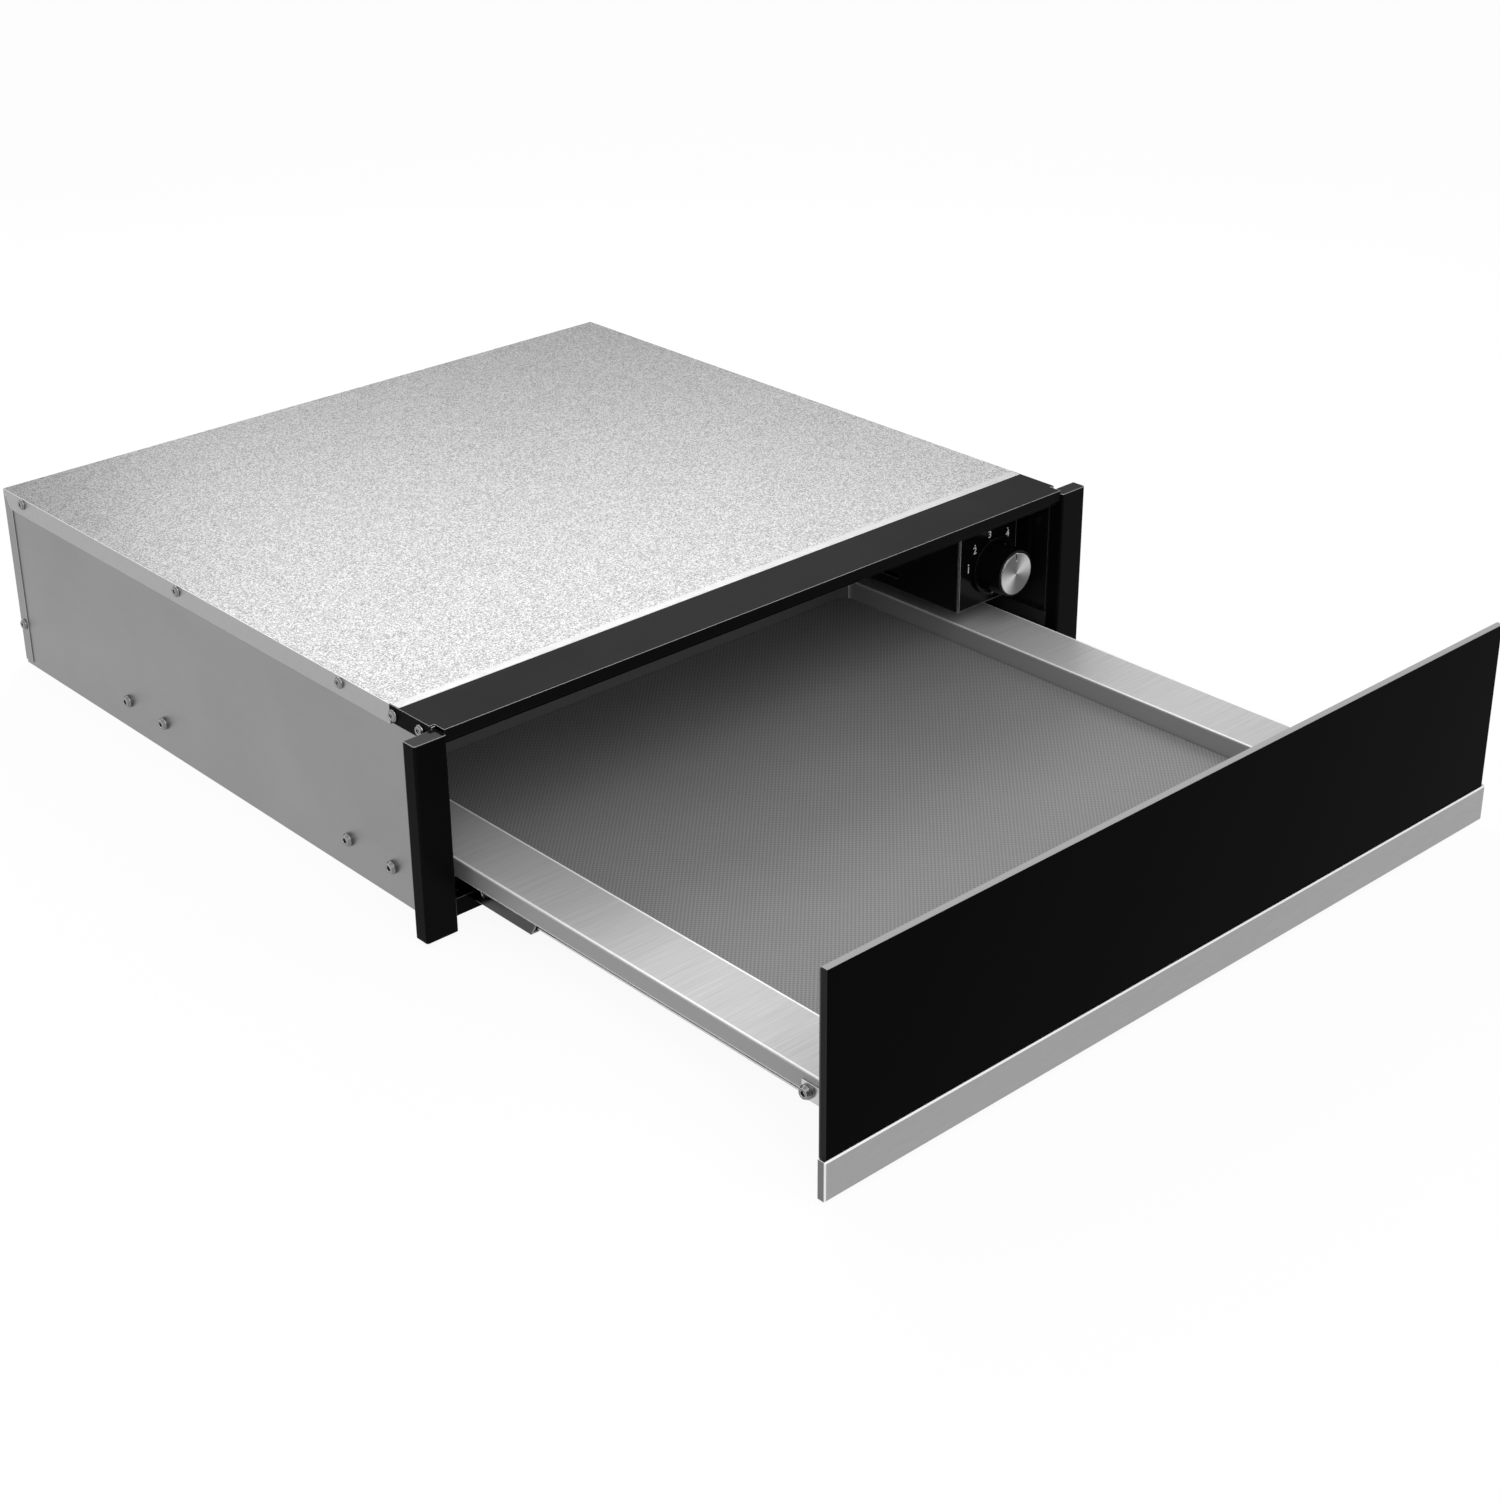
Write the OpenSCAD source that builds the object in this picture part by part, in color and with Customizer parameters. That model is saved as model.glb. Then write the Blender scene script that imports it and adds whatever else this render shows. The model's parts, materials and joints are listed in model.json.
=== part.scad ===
// Built-in warming drawer, 140 mm high, drawn open on ball-bearing telescopic slides.
// X runs across the front, +Y runs into the cabinet, +Z is up.
// The pieces are drawn with Y = 0 on the cabinet's front plane and the drawer closed.
// in_case, in_drawer and in_slide then bring them to the origin and the open pose.
// The origin is the middle of the case's footprint, on its underside.
// Pieces that come in pairs are drawn on the right, at +X, and mirrored to the left.

/* [Case] */
// Height from the underside to the top cover
case_h = 140; // [136:1:165]
// Distance from the cabinet's front plane to the back of the case
case_depth = 524; // [516:1:540]
// Distance from the cabinet's front plane back to the bottom rail
case_setback = 8; // [6:0.5:10]
// Thickness of the sheet metal
sheet_t = 0.8; // [0.6:0.05:0.9]
// Height of the top cover's side flanges
cover_flange_h = 14; // [12:0.5:18]
// Depth of the rear panel's side flanges
rear_flange_w = 10; // [9:0.5:14]
// Height of the base pan's upturned flanges
pan_flange_h = 12; // [8:0.5:14]
// Distance from the top of the case down to the ceiling of the drawer space
ceiling_drop = 10; // [9:0.5:12]
// Gap between the side panels and the liners
liner_gap = 2.1; // [1.5:0.1:3]
// Distance between the inner rear wall and the rear panel
rear_gap = 13.4; // [12:0.2:16]

/* [Frame] */
// Width of the drawer front
front_w = 594; // [580:1:620]
// How far the front reaches out past the case on each side
front_overhang = 20.5; // [17:0.5:26]
// Depth of the posts
post_depth = 11; // [9:0.5:14]
// Wall of the posts
post_wall = 1.5; // [1.2:0.1:2]
// How far the posts reach in past the side panels
post_lap = 1.9; // [1.2:0.1:2.4]
// Height of the posts' lower ends
post_foot = 3; // [1:0.5:6]
// How far the posts stay below the top rail's upper face
post_drop = 2.5; // [1.5:0.1:4]
// How far the top rail's face lies behind the posts' faces
rail_setback = 2.3; // [1:0.1:4]
// Distance from the cabinet's front plane to the top rail's back edge
rail_back = 33; // [28:1:40]
// Height of the top rail's face
rail_face_h = 7.5; // [6.5:0.1:8.5]
// Depth of the step behind the top rail's face
rail_step = 3.7; // [3:0.1:4.5]
// Height of the lip below that step
rail_lip_h = 4; // [3:0.5:5]
// Height of the top rail's end flanges
rail_flange_h = 12; // [10:0.5:16]
// Distance from the cabinet's front plane to the end flanges' back edges
rail_flange_back = 42; // [41:1:48]

/* [Drawer] */
// Distance that the drawer stands open
drawer_open = 335; // [0:5:400]
// Gap between the closed drawer front and the posts
close_gap = 3; // [2:0.5:4]
// Length of the tray
tray_len = 505; // [490:1:508]
// Gap between the tray and the liners
tray_gap = 14.4; // [12:0.2:18]
// Height of the tray's upper face
tray_top = 39; // [38:0.5:41]
// Depth of the tray's well
well_depth = 17; // [14:0.5:18]
// Width of the flange at each side of the well
tray_flange_w = 43; // [41:0.5:50]
// Width of the flange before and behind the well
tray_end_w = 7; // [5:0.5:12]
// Corner radius of the well
well_r = 8; // [4:0.5:14]
// Height of the tray's side skirts
skirt_h = 13; // [11.5:0.5:14]
// Thickness of the mat
mat_t = 2.5; // [1.5:0.1:4]

/* [Drawer front] */
// Height of the front's lower edge
front_lift = 4; // [2:0.5:6]
// Thickness of the glass
glass_t = 4; // [3:0.5:5]
// How far the glass stays inside the trim strip's ends
glass_inset = 1.7; // [1:0.1:3]
// Thickness of the carrier plate behind the glass
carrier_t = 2; // [1.5:0.1:3]
// Height of the trim strip
trim_h = 25; // [20:0.5:30]
// How far the trim strip stands proud of the glass
trim_proud = 1.5; // [0.5:0.1:3]
// Sheet thickness of the trim strip
trim_t = 1.2; // [0.8:0.1:1.5]

/* [Slides] */
// Length of the slide members
slide_len = 400; // [360:10:440]
// Height of the cabinet member
slide_h = 28; // [27:0.5:29]
// Thickness of the closed slide
slide_w = 12.7; // [12.5:0.1:13.5]
// Distance from the cabinet's front plane to the slides
slide_y = 37; // [34:1:40]
// Wall of the slide members
slide_wall = 1.2; // [1:0.05:1.3]
// Radius of the balls
ball_r = 1.6; // [1.5:0.05:1.7]
// Number of balls in each row of the outer cages
outer_ball_n = 9; // [4:1:9]
// Number of balls in each row of the inner cages
inner_ball_n = 6; // [3:1:6]

/* [Controls and heating] */
// Width of the control housing
housing_w = 67; // [64:0.5:72]
// Height of the control housing's floor
housing_z = 54; // [52:0.5:56]
// Distance from the cabinet's front plane to the fascia's face
fascia_y = 24; // [23:0.5:27]
// Width of the fascia
fascia_w = 60; // [56:0.5:62]
// Thickness of the fascia
fascia_t = 2; // [1.5:0.1:3]
// Radius of the knob at its foot
knob_r = 18.8; // [16:0.2:20]
// Length of the knob
knob_len = 20; // [16:0.5:21]
// Distance from the fascia's left edge to the knob's axis
knob_x_in = 35; // [33:0.5:36]
// Height of the knob's axis above the fascia's lower edge
knob_up = 28; // [26:0.5:34]
// Distance from the cabinet's front plane to the fan's axis
fan_y = 124; // [118:1:130]
// Width of the fan housing
fan_w = 28; // [24:0.5:30]
// Number of blades on the impeller
blade_n = 24; // [12:1:28]
// Radius of the heating tube
heater_r = 3.2; // [2.5:0.1:3.5]
// Height of each louvre slot
louvre_h = 3.5; // [2.5:0.1:4.5]
// Number of louvre slots in each group
louvre_n = 6; // [3:1:6]

/* [Hidden] */
$fn = 48;
cut = 1;
seam = 0.2;
fit = 0.1;
shaft_fit = 0.05;

// Places that most pieces share
half_w = front_w / 2 - front_overhang;
side_out = half_w - sheet_t;
side_in = side_out - sheet_t;
liner_out = side_in - liner_gap;
liner_in = liner_out - sheet_t;
roof_z = case_h - sheet_t;
ceiling_z = case_h - ceiling_drop;
rear_in = case_depth - sheet_t;
rear_wall_back = rear_in - rear_gap;
rear_wall_y = rear_wall_back - sheet_t;
base_front = case_setback + sheet_t;
case_mid_y = (case_setback + case_depth) / 2;

// Posts and rails
post_in = side_in - post_lap;
post_reveal = 0.2;
post_out = front_w / 2 - post_reveal;
post_mid_x = (post_in + post_out) / 2;
post_top = case_h - post_drop;
post_r = 1.6;
post_flange_gap = 5;
post_flange_y = -3.2;
post_boss_r = 3;
post_boss_in = 22;
post_boss_depth = 4;
rail_front = rail_setback - post_depth;
rail_half = post_in - seam;
rail_notch_y = 1;
rail_face_z = case_h - rail_face_h;
rail_step_y = rail_front + rail_step;
rail_lip_z = rail_face_z - rail_lip_h;
rail_return_d = 8;
rail_return_y = case_setback + rail_return_d;

// Screws, each with its head on the outer face
clear_r = 2.1;
shank_r = 2;
pan_head_r = 4;
pan_head_h = 2.2;
button_head_r = 4.5;
button_head_h = 4;
post_screw_r = 1.5;
post_screw_head_r = 3;
post_screw_head_h = 2;
rim_share = 0.45;
crown_share = 0.72;
socket_share = 0.45;
screw_past = 2.4;
cover_screw_y_shares = [0.1804, 0.5439, 0.9466];
cover_screw_drop = 4.5;
rear_screw_z = 33;
rail_screw_front_y = 10.6;
rail_screw_back_in = 4;
rail_screw_drop = 6.5;
slide_screw_y_in = 14.7;
slide_screw_pitch = 47.8;
slide_screw_back_in = 66;

// Case sheets
side_top_flange_w = 11;
rear_top_flange_w = 8;
rear_flange_foot = 3;
fixing_r = 2.25;
fixing_x = 200;
fixing_y_in = 14;
bead_w = 20;
bead_h = 1.5;
bead_pitch = 100;
bead_in = 52;
vent_n = 9;
vent_w = 3;
vent_h = 26;
vent_pitch = 8;
vent_drop = 30;

// Tray and its runners
tray_front = -post_depth - close_gap;
tray_back = tray_front + tray_len;
tray_half = liner_in - tray_gap;
tray_under = tray_top - sheet_t;
well_half = tray_half - tray_flange_w;
well_floor = tray_top - well_depth;
well_under = well_floor - sheet_t;
skirt_z = tray_top - skirt_h;
end_skirt_gap = 20;
end_skirt_half = well_half + end_skirt_gap;
front_skirt_z = 10;
mat_gap = 1;
runner_t = 1;
runner_w = 21.3;
runner_past = 1;

// Slides: u is measured inward from the cabinet member's back, v up from the slide's middle
skirt_gap = 0.8;
slide_out = tray_half - sheet_t - skirt_gap;
slide_in = slide_out - slide_w;
slide_top_gap = 1.6;
slide_z = tray_under - slide_top_gap - slide_h / 2;
slide_end = slide_y + slide_len;
slide_mid_y = slide_y + slide_len / 2;
cage_t = 0.5;
cage_gap = 0.35;
race_gap = 0.3;
pocket_gap = 0.15;
lip_t = 1;
lip_h = 0.8;
cabinet_half = slide_h / 2;
middle_half = cabinet_half - slide_wall - 2 * ball_r;
drawer_half = middle_half - slide_wall - 2 * ball_r;
member_step = slide_wall + cage_t + 2 * cage_gap;
cabinet_w = 8.2;
middle_u = member_step;
middle_end_gap = 1.7;
end_slant = 6;
middle_w = slide_w - middle_end_gap - middle_u;
drawer_u = middle_u + member_step;
outer_ball_u = (middle_u + cabinet_w - lip_t) / 2;
outer_ball_v = cabinet_half - slide_wall - ball_r;
inner_ball_u = (drawer_u + middle_u + middle_w - lip_t) / 2;
inner_ball_v = middle_half - slide_wall - ball_r;
outer_ball_pitch = 22;
inner_ball_pitch = 17;
cage_end = 12;
middle_share = 0.3;
outer_cage_share = 0.15;
inner_cage_share = 0.65;
access_r = 4.5;
access_in = 50;
member_slot_l = 14;
member_slot_h = 4.4;
bush_r = 3;

// Drawer front
front_half = front_w / 2;
front_back = tray_front;
carrier_front = front_back - carrier_t;
glass_front = carrier_front - glass_t;
trim_front = glass_front - trim_proud;
trim_top = front_lift + trim_h;
front_top = front_lift + case_h;
glass_half = front_half - glass_inset;
glass_bevel = 0.4;
trim_bevel = 0.8;
carrier_side_in = 2.7;
carrier_end_in = 2;
carrier_foot_in = 4;
bracket_t = 1.2;
bracket_len = 50;
bracket_h = 11;
bracket_foot_gap = 3;
bracket_flange_w = 19;
bracket_flange_z = 14;
bracket_flange_h = 38;
bracket_screw_in = 5;
bracket_screw_z_in = 5.5;
carrier_screw_end_in = 6;

// Push latch under the tray
latch_w = 24;
latch_y = 395;
latch_len = 60;
latch_top_gap = 2.2;
latch_top = well_under - latch_top_gap;
latch_ear_l = 10;
latch_ear_h = 3;
latch_hole_r = 1.7;
plunger_r = 4;
plunger_len = 40;
plunger_head_r = 5;
plunger_head_l = 4;
plunger_reach = 6;
plunger_drop = 6.5;
plunger_z = latch_top - plunger_drop;
plunger_end_gap = 7;
strike_gap = 0.3;
strike_w = 16;
strike_t = 1.5;
strike_foot = 18;
strike_y = latch_y - plunger_reach - plunger_head_l - strike_gap;
rail_pass_gap = 0.9;
bottom_rail_h = slide_z - middle_half - rail_pass_gap;
strike_pass_gap = 0.8;
strike_z = bottom_rail_h + strike_pass_gap;

// Control housing, fascia and knob
housing_x = liner_in - housing_w;
housing_in = housing_x + sheet_t;
housing_floor = housing_z + sheet_t;
housing_y = fascia_y + fascia_t;
housing_back_gap = 9;
housing_back = rear_wall_y - housing_back_gap;
housing_flange_w = 12;
fascia_edge = 0.8;
knob_x = housing_x + knob_x_in;
knob_z = housing_z + knob_up;
knob_taper = 1.6;
bezel_over = 3.2;
bezel_rim_t = 2.2;
bezel_base_t = 1;
bezel_h = 3;
bezel_r = knob_r + bezel_over;
knob_sink = 1;
knob_foot_y = fascia_y - bezel_base_t - knob_sink;
knob_front_y = knob_foot_y - knob_len;
knob_top_r = knob_r - knob_taper;
cap_edge = 1.2;
cap_r = knob_top_r - cap_edge;
cap_t = 2;
cap_proud = 1;
cap_bevel = 0.6;
pointer_w = 1.6;
pointer_l = 6;
pointer_depth = 0.6;
knob_wall = 2.6;
knob_hub_r = 6;
knob_skin = 4;
spindle_r = 3;
spindle_end_in = 4;
switch_w = 36;
switch_d = 24;
switch_bush_r = 5;
switch_tab_w = 6;
switch_tab_t = 0.8;
switch_tab_l = 8;
switch_tab_x = 10;
louvre_len = 66;
louvre_low = 8;
louvre_top_gap = 11;
louvre_pitch = (ceiling_z - housing_z - louvre_low - louvre_top_gap) / louvre_n;
louvre_fan_shift = 7;
heat_louvre_len = 95;

// Fan: the scroll grows with the angle from its tongue, and its outlet faces +Y
fan_gap = 1.6;
fan_side_gap = 2.2;
fan_wall = 1.2;
fan_x = housing_in + fan_side_gap;
fan_z = (housing_floor + ceiling_z) / 2;
scroll_end_r = (ceiling_z - housing_floor) / 2 - fan_gap;
scroll_growth = 7;
scroll_r = scroll_end_r - scroll_growth;
scroll_n = 40;
outlet_h = 20;
outlet_y = 40;
impeller_gap = 1.8;
impeller_r = scroll_r - fan_wall - impeller_gap;
impeller_disc_t = 1.5;
blade_depth = 6;
blade_t = 0.8;
blade_inset = 0.4;
blade_curve_r = 7.5;
blade_sag = 3;
impeller_hub_r = 7;
fan_shaft_r = 2;
fan_shaft_past = 18;
motor_r = 20;
motor_len = 26;
motor_neck_r = 10;
motor_foot_r = 22;
motor_foot_t = 2;
motor_bolt_r = 1.7;
motor_bolt_ring_r = 16;

// Heating tube, bulkhead and supply
heater_x = (housing_x + liner_in) / 2;
heater_pass_n = 4;
heater_end_in = 13.6;
heater_pitch = (ceiling_z - housing_floor - 2 * heater_end_in) / (heater_pass_n - 1);
heater_front_y = 195;
heater_run = 80;
heater_back_y = heater_front_y + heater_run;
bulkhead_gap = 15;
bulkhead_t = 2;
bulkhead_y = heater_back_y + bulkhead_gap;
heater_tail = 8;
cutout_r = 8;
cutout_t = 6;
cutout_tab_x = 4;
cutout_tab_w = 3;
terminal_w = 47;
terminal_d = 40;
terminal_h = 18;
terminal_back_in = 20;
terminal_n = 5;
terminal_screw_r = 2.5;
terminal_screw_depth = 5;
terminal_rib_t = 1.2;
terminal_step = 6;
gland_z = (housing_floor + ceiling_z) / 2;
gland_bore_r = 4.2;
gland_r = 7.5;
gland_flange_r = 11;
gland_flange_t = 3;
gland_dome_l = 5;
gland_inner_l = 18;
gland_nut_t = 5;
cable_hole_r = 5;

// Bring a piece from the drawing place to its own place
module in_case() {
    translate([0, -case_mid_y, 0])
        children();
}

module in_drawer() {
    in_slide(1)
        children();
}

// Follow the drawer by a share of its travel
module in_slide(share) {
    translate([0, -case_mid_y - share * drawer_open, 0])
        children();
}

module left_hand() {
    mirror([1, 0, 0])
        children();
}

module both_sides() {
    children();
    left_hand()
        children();
}

// Repeat an outline above and below its X axis
module up_down() {
    children();
    mirror([0, 1, 0])
        children();
}

// Box between two places along each axis
module block(x, y, z) {
    translate([x[0], y[0], z[0]])
        cube([x[1] - x[0], y[1] - y[0], z[1] - z[0]]);
}

// Round bars along one axis, which has two places where the others have one
module x_rod(r, x, y, z) {
    translate([x[0], y, z])
        rotate([0, 90, 0])
            cylinder(r = r, h = x[1] - x[0]);
}

module y_rod(r, x, y, z) {
    translate([x, y[0], z])
        rotate([-90, 0, 0])
            cylinder(r = r, h = y[1] - y[0]);
}

module z_rod(r, x, y, z) {
    translate([x, y, z[0]])
        cylinder(r = r, h = z[1] - z[0]);
}

// Outlines extruded along one axis: Y and Z along X, X and Z along Y, X and Y along Z
module x_prism(x) {
    translate([x[0], 0, 0])
        rotate([90, 0, 90])
            linear_extrude(x[1] - x[0])
                children();
}

module y_prism(y) {
    translate([0, y[1], 0])
        rotate([90, 0, 0])
            linear_extrude(y[1] - y[0])
                children();
}

module z_prism(z) {
    translate([0, 0, z[0]])
        linear_extrude(z[1] - z[0])
            children();
}

// Rectangle with round corners between two places along each axis
module round_rect(x, y, r) {
    translate([x[0] + r, y[0]])
        square([x[1] - x[0] - 2 * r, y[1] - y[0]]);
    translate([x[0], y[0] + r])
        square([x[1] - x[0], y[1] - y[0] - 2 * r]);
    for (cx = [x[0] + r, x[1] - r]) {
        for (cy = [y[0] + r, y[1] - r]) {
            translate([cx, cy])
                circle(r = r);
        }
    }
}

// Flat plate facing -Y with its front edges bevelled
module bevelled_plate(x, y, z, bevel) {
    intersection() {
        z_prism(z)
            polygon([
                [x[0], y[1]], [x[0], y[0] + bevel], [x[0] + bevel, y[0]],
                [x[1] - bevel, y[0]], [x[1], y[0] + bevel], [x[1], y[1]]
            ]);
        x_prism(x)
            polygon([
                [y[1], z[0]], [y[0] + bevel, z[0]], [y[0], z[0] + bevel],
                [y[0], z[1] - bevel], [y[0] + bevel, z[1]], [y[1], z[1]]
            ]);
    }
}

// Socket-head screw whose head stands on Z = 0 and whose shank hangs below
module screw(head_r, head_h, stem_r, stem_l) {
    difference() {
        union() {
            cylinder(r = head_r, h = head_h * rim_share);
            translate([0, 0, head_h * rim_share])
                cylinder(r1 = head_r, r2 = head_r * crown_share, h = head_h * (1 - rim_share));
            translate([0, 0, -stem_l])
                cylinder(r = stem_r, h = stem_l);
        }
        translate([0, 0, head_h * rim_share])
            cylinder(r = head_r * socket_share, h = head_h, $fn = 6);
    }
}

module screw_out(x, y, z, head_r, head_h, stem_l) {
    translate([x, y, z])
        rotate([0, 90, 0])
            screw(head_r, head_h, shank_r, stem_l);
}

module screw_back(x, y, z, head_r, head_h, stem_r, stem_l) {
    translate([x, y, z])
        rotate([-90, 0, 0])
            screw(head_r, head_h, stem_r, stem_l);
}

// Screw places on the right side
cover_screw_y = [for (share = cover_screw_y_shares) share * case_depth];
cover_screw_z = case_h - cover_screw_drop;
rear_screw_y = case_depth - rear_flange_w / 2;
rail_screw_y = [rail_screw_front_y, rail_flange_back - rail_screw_back_in];
rail_screw_z = case_h - rail_screw_drop;
slide_screw_back_y = slide_end - slide_screw_back_in;
slide_screw_y = [
    slide_y + slide_screw_y_in, slide_y + slide_screw_y_in + slide_screw_pitch,
    slide_screw_back_y - slide_screw_pitch, slide_screw_back_y
];
post_boss_z = [post_foot + post_boss_in, post_top - post_boss_in];

module cover_screw_holes() {
    for (y = cover_screw_y) {
        x_rod(clear_r, [side_in - cut, half_w + cut], y, cover_screw_z);
    }
}

module rear_screw_hole() {
    x_rod(clear_r, [side_in - cut, half_w + cut], rear_screw_y, rear_screw_z);
}

module rail_screw_holes() {
    for (y = rail_screw_y) {
        x_rod(clear_r, [side_in - cut, half_w + cut], y, rail_screw_z);
    }
}

// Base pan with upturned flanges and four pressed beads
module bead_outline(w) {
    reach = (bead_w - w) / 2;
    y = [base_front + bead_in + reach, rear_in - bead_in - reach];
    for (i = [-3:2:3]) {
        x = i * bead_pitch / 2;
        round_rect([x - w / 2, x + w / 2], y, w / 2 - fit);
    }
}

module base_pan() {
    color("silver")
    in_case()
    difference() {
        union() {
            block([-side_in, side_in], [base_front, rear_in], [0, sheet_t]);
            both_sides()
                block([side_in - sheet_t, side_in], [rail_return_y + seam, rear_in], [0, pan_flange_h]);
            block([-side_in, side_in], [rear_in - sheet_t, rear_in], [0, pan_flange_h]);
            z_prism([0, sheet_t + bead_h])
                bead_outline(bead_w);
        }
        z_prism([-cut, bead_h])
            bead_outline(bead_w - 2 * sheet_t);
        both_sides()
            z_rod(fixing_r, fixing_x, case_setback + fixing_y_in, [-cut, sheet_t + cut]);
    }
}

// Side panel with an inward flange on top and an outward one inside the post
module side_panel() {
    post_z = [post_foot + post_flange_gap, post_top - post_flange_gap];
    color("lightgray")
    in_case()
    difference() {
        union() {
            block([side_in, side_out], [0, rear_in], [0, roof_z]);
            block([side_in, side_out], [post_flange_y, 0], post_z);
            block([side_in, post_out - post_wall - fit], [post_flange_y, post_flange_y + sheet_t], post_z);
            block(
                [side_out - side_top_flange_w, side_out],
                [0, rear_in - rear_flange_w],
                [roof_z - sheet_t, roof_z]
            );
        }
        cover_screw_holes();
        rear_screw_hole();
        rail_screw_holes();
        for (y = slide_screw_y) {
            x_rod(clear_r, [side_in - cut, side_out + cut], y, slide_z);
        }
        for (z = post_boss_z) {
            y_rod(clear_r, post_mid_x, [post_flange_y - cut, post_flange_y + sheet_t + cut], z);
        }
    }
}

module left_side_panel() {
    left_hand()
        side_panel();
}

module right_side_panel() {
    side_panel();
}

// Top cover: its side flanges are mitred against the rear panel's flanges
module top_cover() {
    cover_front = rail_back + seam;
    flange_front = rail_flange_back + seam;
    flange_z = case_h - cover_flange_h;
    color("gainsboro")
    in_case()
    difference() {
        union() {
            block([-half_w, half_w], [cover_front, case_depth], [roof_z, case_h]);
            both_sides()
                x_prism([side_out, half_w])
                    polygon([
                        [flange_front, flange_z], [case_depth - rear_flange_w, flange_z],
                        [case_depth, case_h], [flange_front, case_h]
                    ]);
        }
        both_sides() {
            block(
                [side_out - seam, half_w + cut],
                [cover_front - cut, flange_front],
                [roof_z - cut, case_h + cut]
            );
            cover_screw_holes();
        }
    }
}

// Rear panel with side flanges, a top flange, vent slots and the gland's hole
module rear_panel() {
    flange_y = case_depth - rear_flange_w;
    mitre_gap = sheet_t + seam;
    vent_top = roof_z - vent_drop;
    color("lightgray")
    in_case()
    difference() {
        union() {
            block([-side_out, side_out], [rear_in, case_depth], [0, roof_z]);
            both_sides()
                x_prism([side_out, half_w])
                    polygon([
                        [flange_y, rear_flange_foot], [case_depth, rear_flange_foot],
                        [case_depth, case_h - mitre_gap],
                        [flange_y, case_h - cover_flange_h - mitre_gap]
                    ]);
            block([-side_in, side_in], [rear_in - rear_top_flange_w, rear_in], [roof_z - sheet_t, roof_z]);
        }
        both_sides()
            rear_screw_hole();
        for (i = [1:vent_n]) {
            x = housing_x - i * vent_pitch;
            y_prism([rear_in - cut, case_depth + cut])
                round_rect([x - vent_w / 2, x + vent_w / 2], [vent_top - vent_h, vent_top], vent_w / 2 - fit);
        }
        y_rod(gland_r + fit, heater_x, [rear_in - cut, case_depth + cut], gland_z);
    }
}

// Eight pan-head screws: three along each cover flange and one in each rear flange
module cover_screws() {
    stem_l = half_w - side_in + screw_past;
    color("silver")
    in_case()
    both_sides() {
        for (y = cover_screw_y) {
            screw_out(half_w, y, cover_screw_z, pan_head_r, pan_head_h, stem_l);
        }
        screw_out(half_w, rear_screw_y, rear_screw_z, pan_head_r, pan_head_h, stem_l);
    }
}

// Top rail: a folded section that steps back below its face, with flanges on its ends
module frame_top_rail() {
    color("dimgray")
    in_case()
    difference() {
        union() {
            block([-half_w, half_w], [rail_notch_y, rail_back], [roof_z, case_h]);
            x_prism([-rail_half, rail_half])
                polygon([
                    [rail_front, rail_face_z], [rail_front, case_h],
                    [rail_back, case_h], [rail_back, roof_z],
                    [rail_front + sheet_t, roof_z], [rail_front + sheet_t, rail_face_z + sheet_t],
                    [rail_step_y + sheet_t, rail_face_z + sheet_t], [rail_step_y + sheet_t, rail_lip_z],
                    [rail_step_y, rail_lip_z], [rail_step_y, rail_face_z]
                ]);
            both_sides()
                block([side_out, half_w], [rail_notch_y, rail_flange_back], [case_h - rail_flange_h, case_h]);
        }
        both_sides()
            rail_screw_holes();
    }
}

module frame_bottom_rail() {
    color("black")
    in_case()
    x_prism([-side_in, side_in])
        polygon([
            [case_setback, 0], [base_front, 0],
            [base_front, bottom_rail_h - sheet_t], [rail_return_y, bottom_rail_h - sheet_t],
            [rail_return_y, bottom_rail_h], [case_setback, bottom_rail_h]
        ]);
}

// Post: a channel open to the back, with two bosses that take its screws
module post() {
    color("black")
    in_case()
    difference() {
        union() {
            difference() {
                z_prism([post_foot, post_top]) {
                    round_rect([post_in, post_out], [-post_depth, 0], post_r);
                    translate([post_in, -post_r])
                        square([post_out - post_in, post_r]);
                }
                block(
                    [post_in + post_wall, post_out - post_wall],
                    [post_wall - post_depth, cut],
                    [post_foot + post_wall, post_top - post_wall]
                );
            }
            for (z = post_boss_z) {
                y_rod(post_boss_r, post_mid_x, [post_wall - post_depth, post_flange_y], z);
            }
        }
        for (z = post_boss_z) {
            y_rod(
                post_screw_r + shaft_fit, post_mid_x,
                [post_flange_y - post_boss_depth, post_flange_y + cut], z
            );
        }
    }
}

module frame_left_post() {
    left_hand()
        post();
}

module frame_right_post() {
    post();
}

// Screws of the top rail's end flanges, and those that hold the posts from behind
module frame_screws() {
    stem_l = half_w - side_in + screw_past;
    color("silver")
    in_case()
    both_sides() {
        for (y = rail_screw_y) {
            screw_out(half_w, y, rail_screw_z, pan_head_r, pan_head_h, stem_l);
        }
        for (z = post_boss_z) {
            screw_back(
                post_mid_x, post_flange_y + sheet_t, z,
                post_screw_head_r, post_screw_head_h, post_screw_r, sheet_t + post_boss_depth - fit
            );
        }
    }
}

// Slide screws pass through the side panel, the bush and the cabinet member's web
module slide_screws() {
    color("silver")
    in_case()
    both_sides() {
        for (y = slide_screw_y) {
            screw_out(
                side_out, y, slide_z,
                button_head_r, button_head_h, side_out - slide_out + slide_wall
            );
        }
    }
}

module slide_bushes() {
    color("dimgray")
    in_case()
    both_sides() {
        for (y = slide_screw_y) {
            difference() {
                x_rod(bush_r, [slide_out, side_in], y, slide_z);
                x_rod(clear_r, [slide_out - cut, side_in + cut], y, slide_z);
            }
        }
    }
}

// Slide members: folded channels whose flanges carry the ball races
module slide_bar(y) {
    y_prism(y)
        translate([slide_out, slide_z])
            mirror([1, 0, 0])
                children();
}

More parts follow.
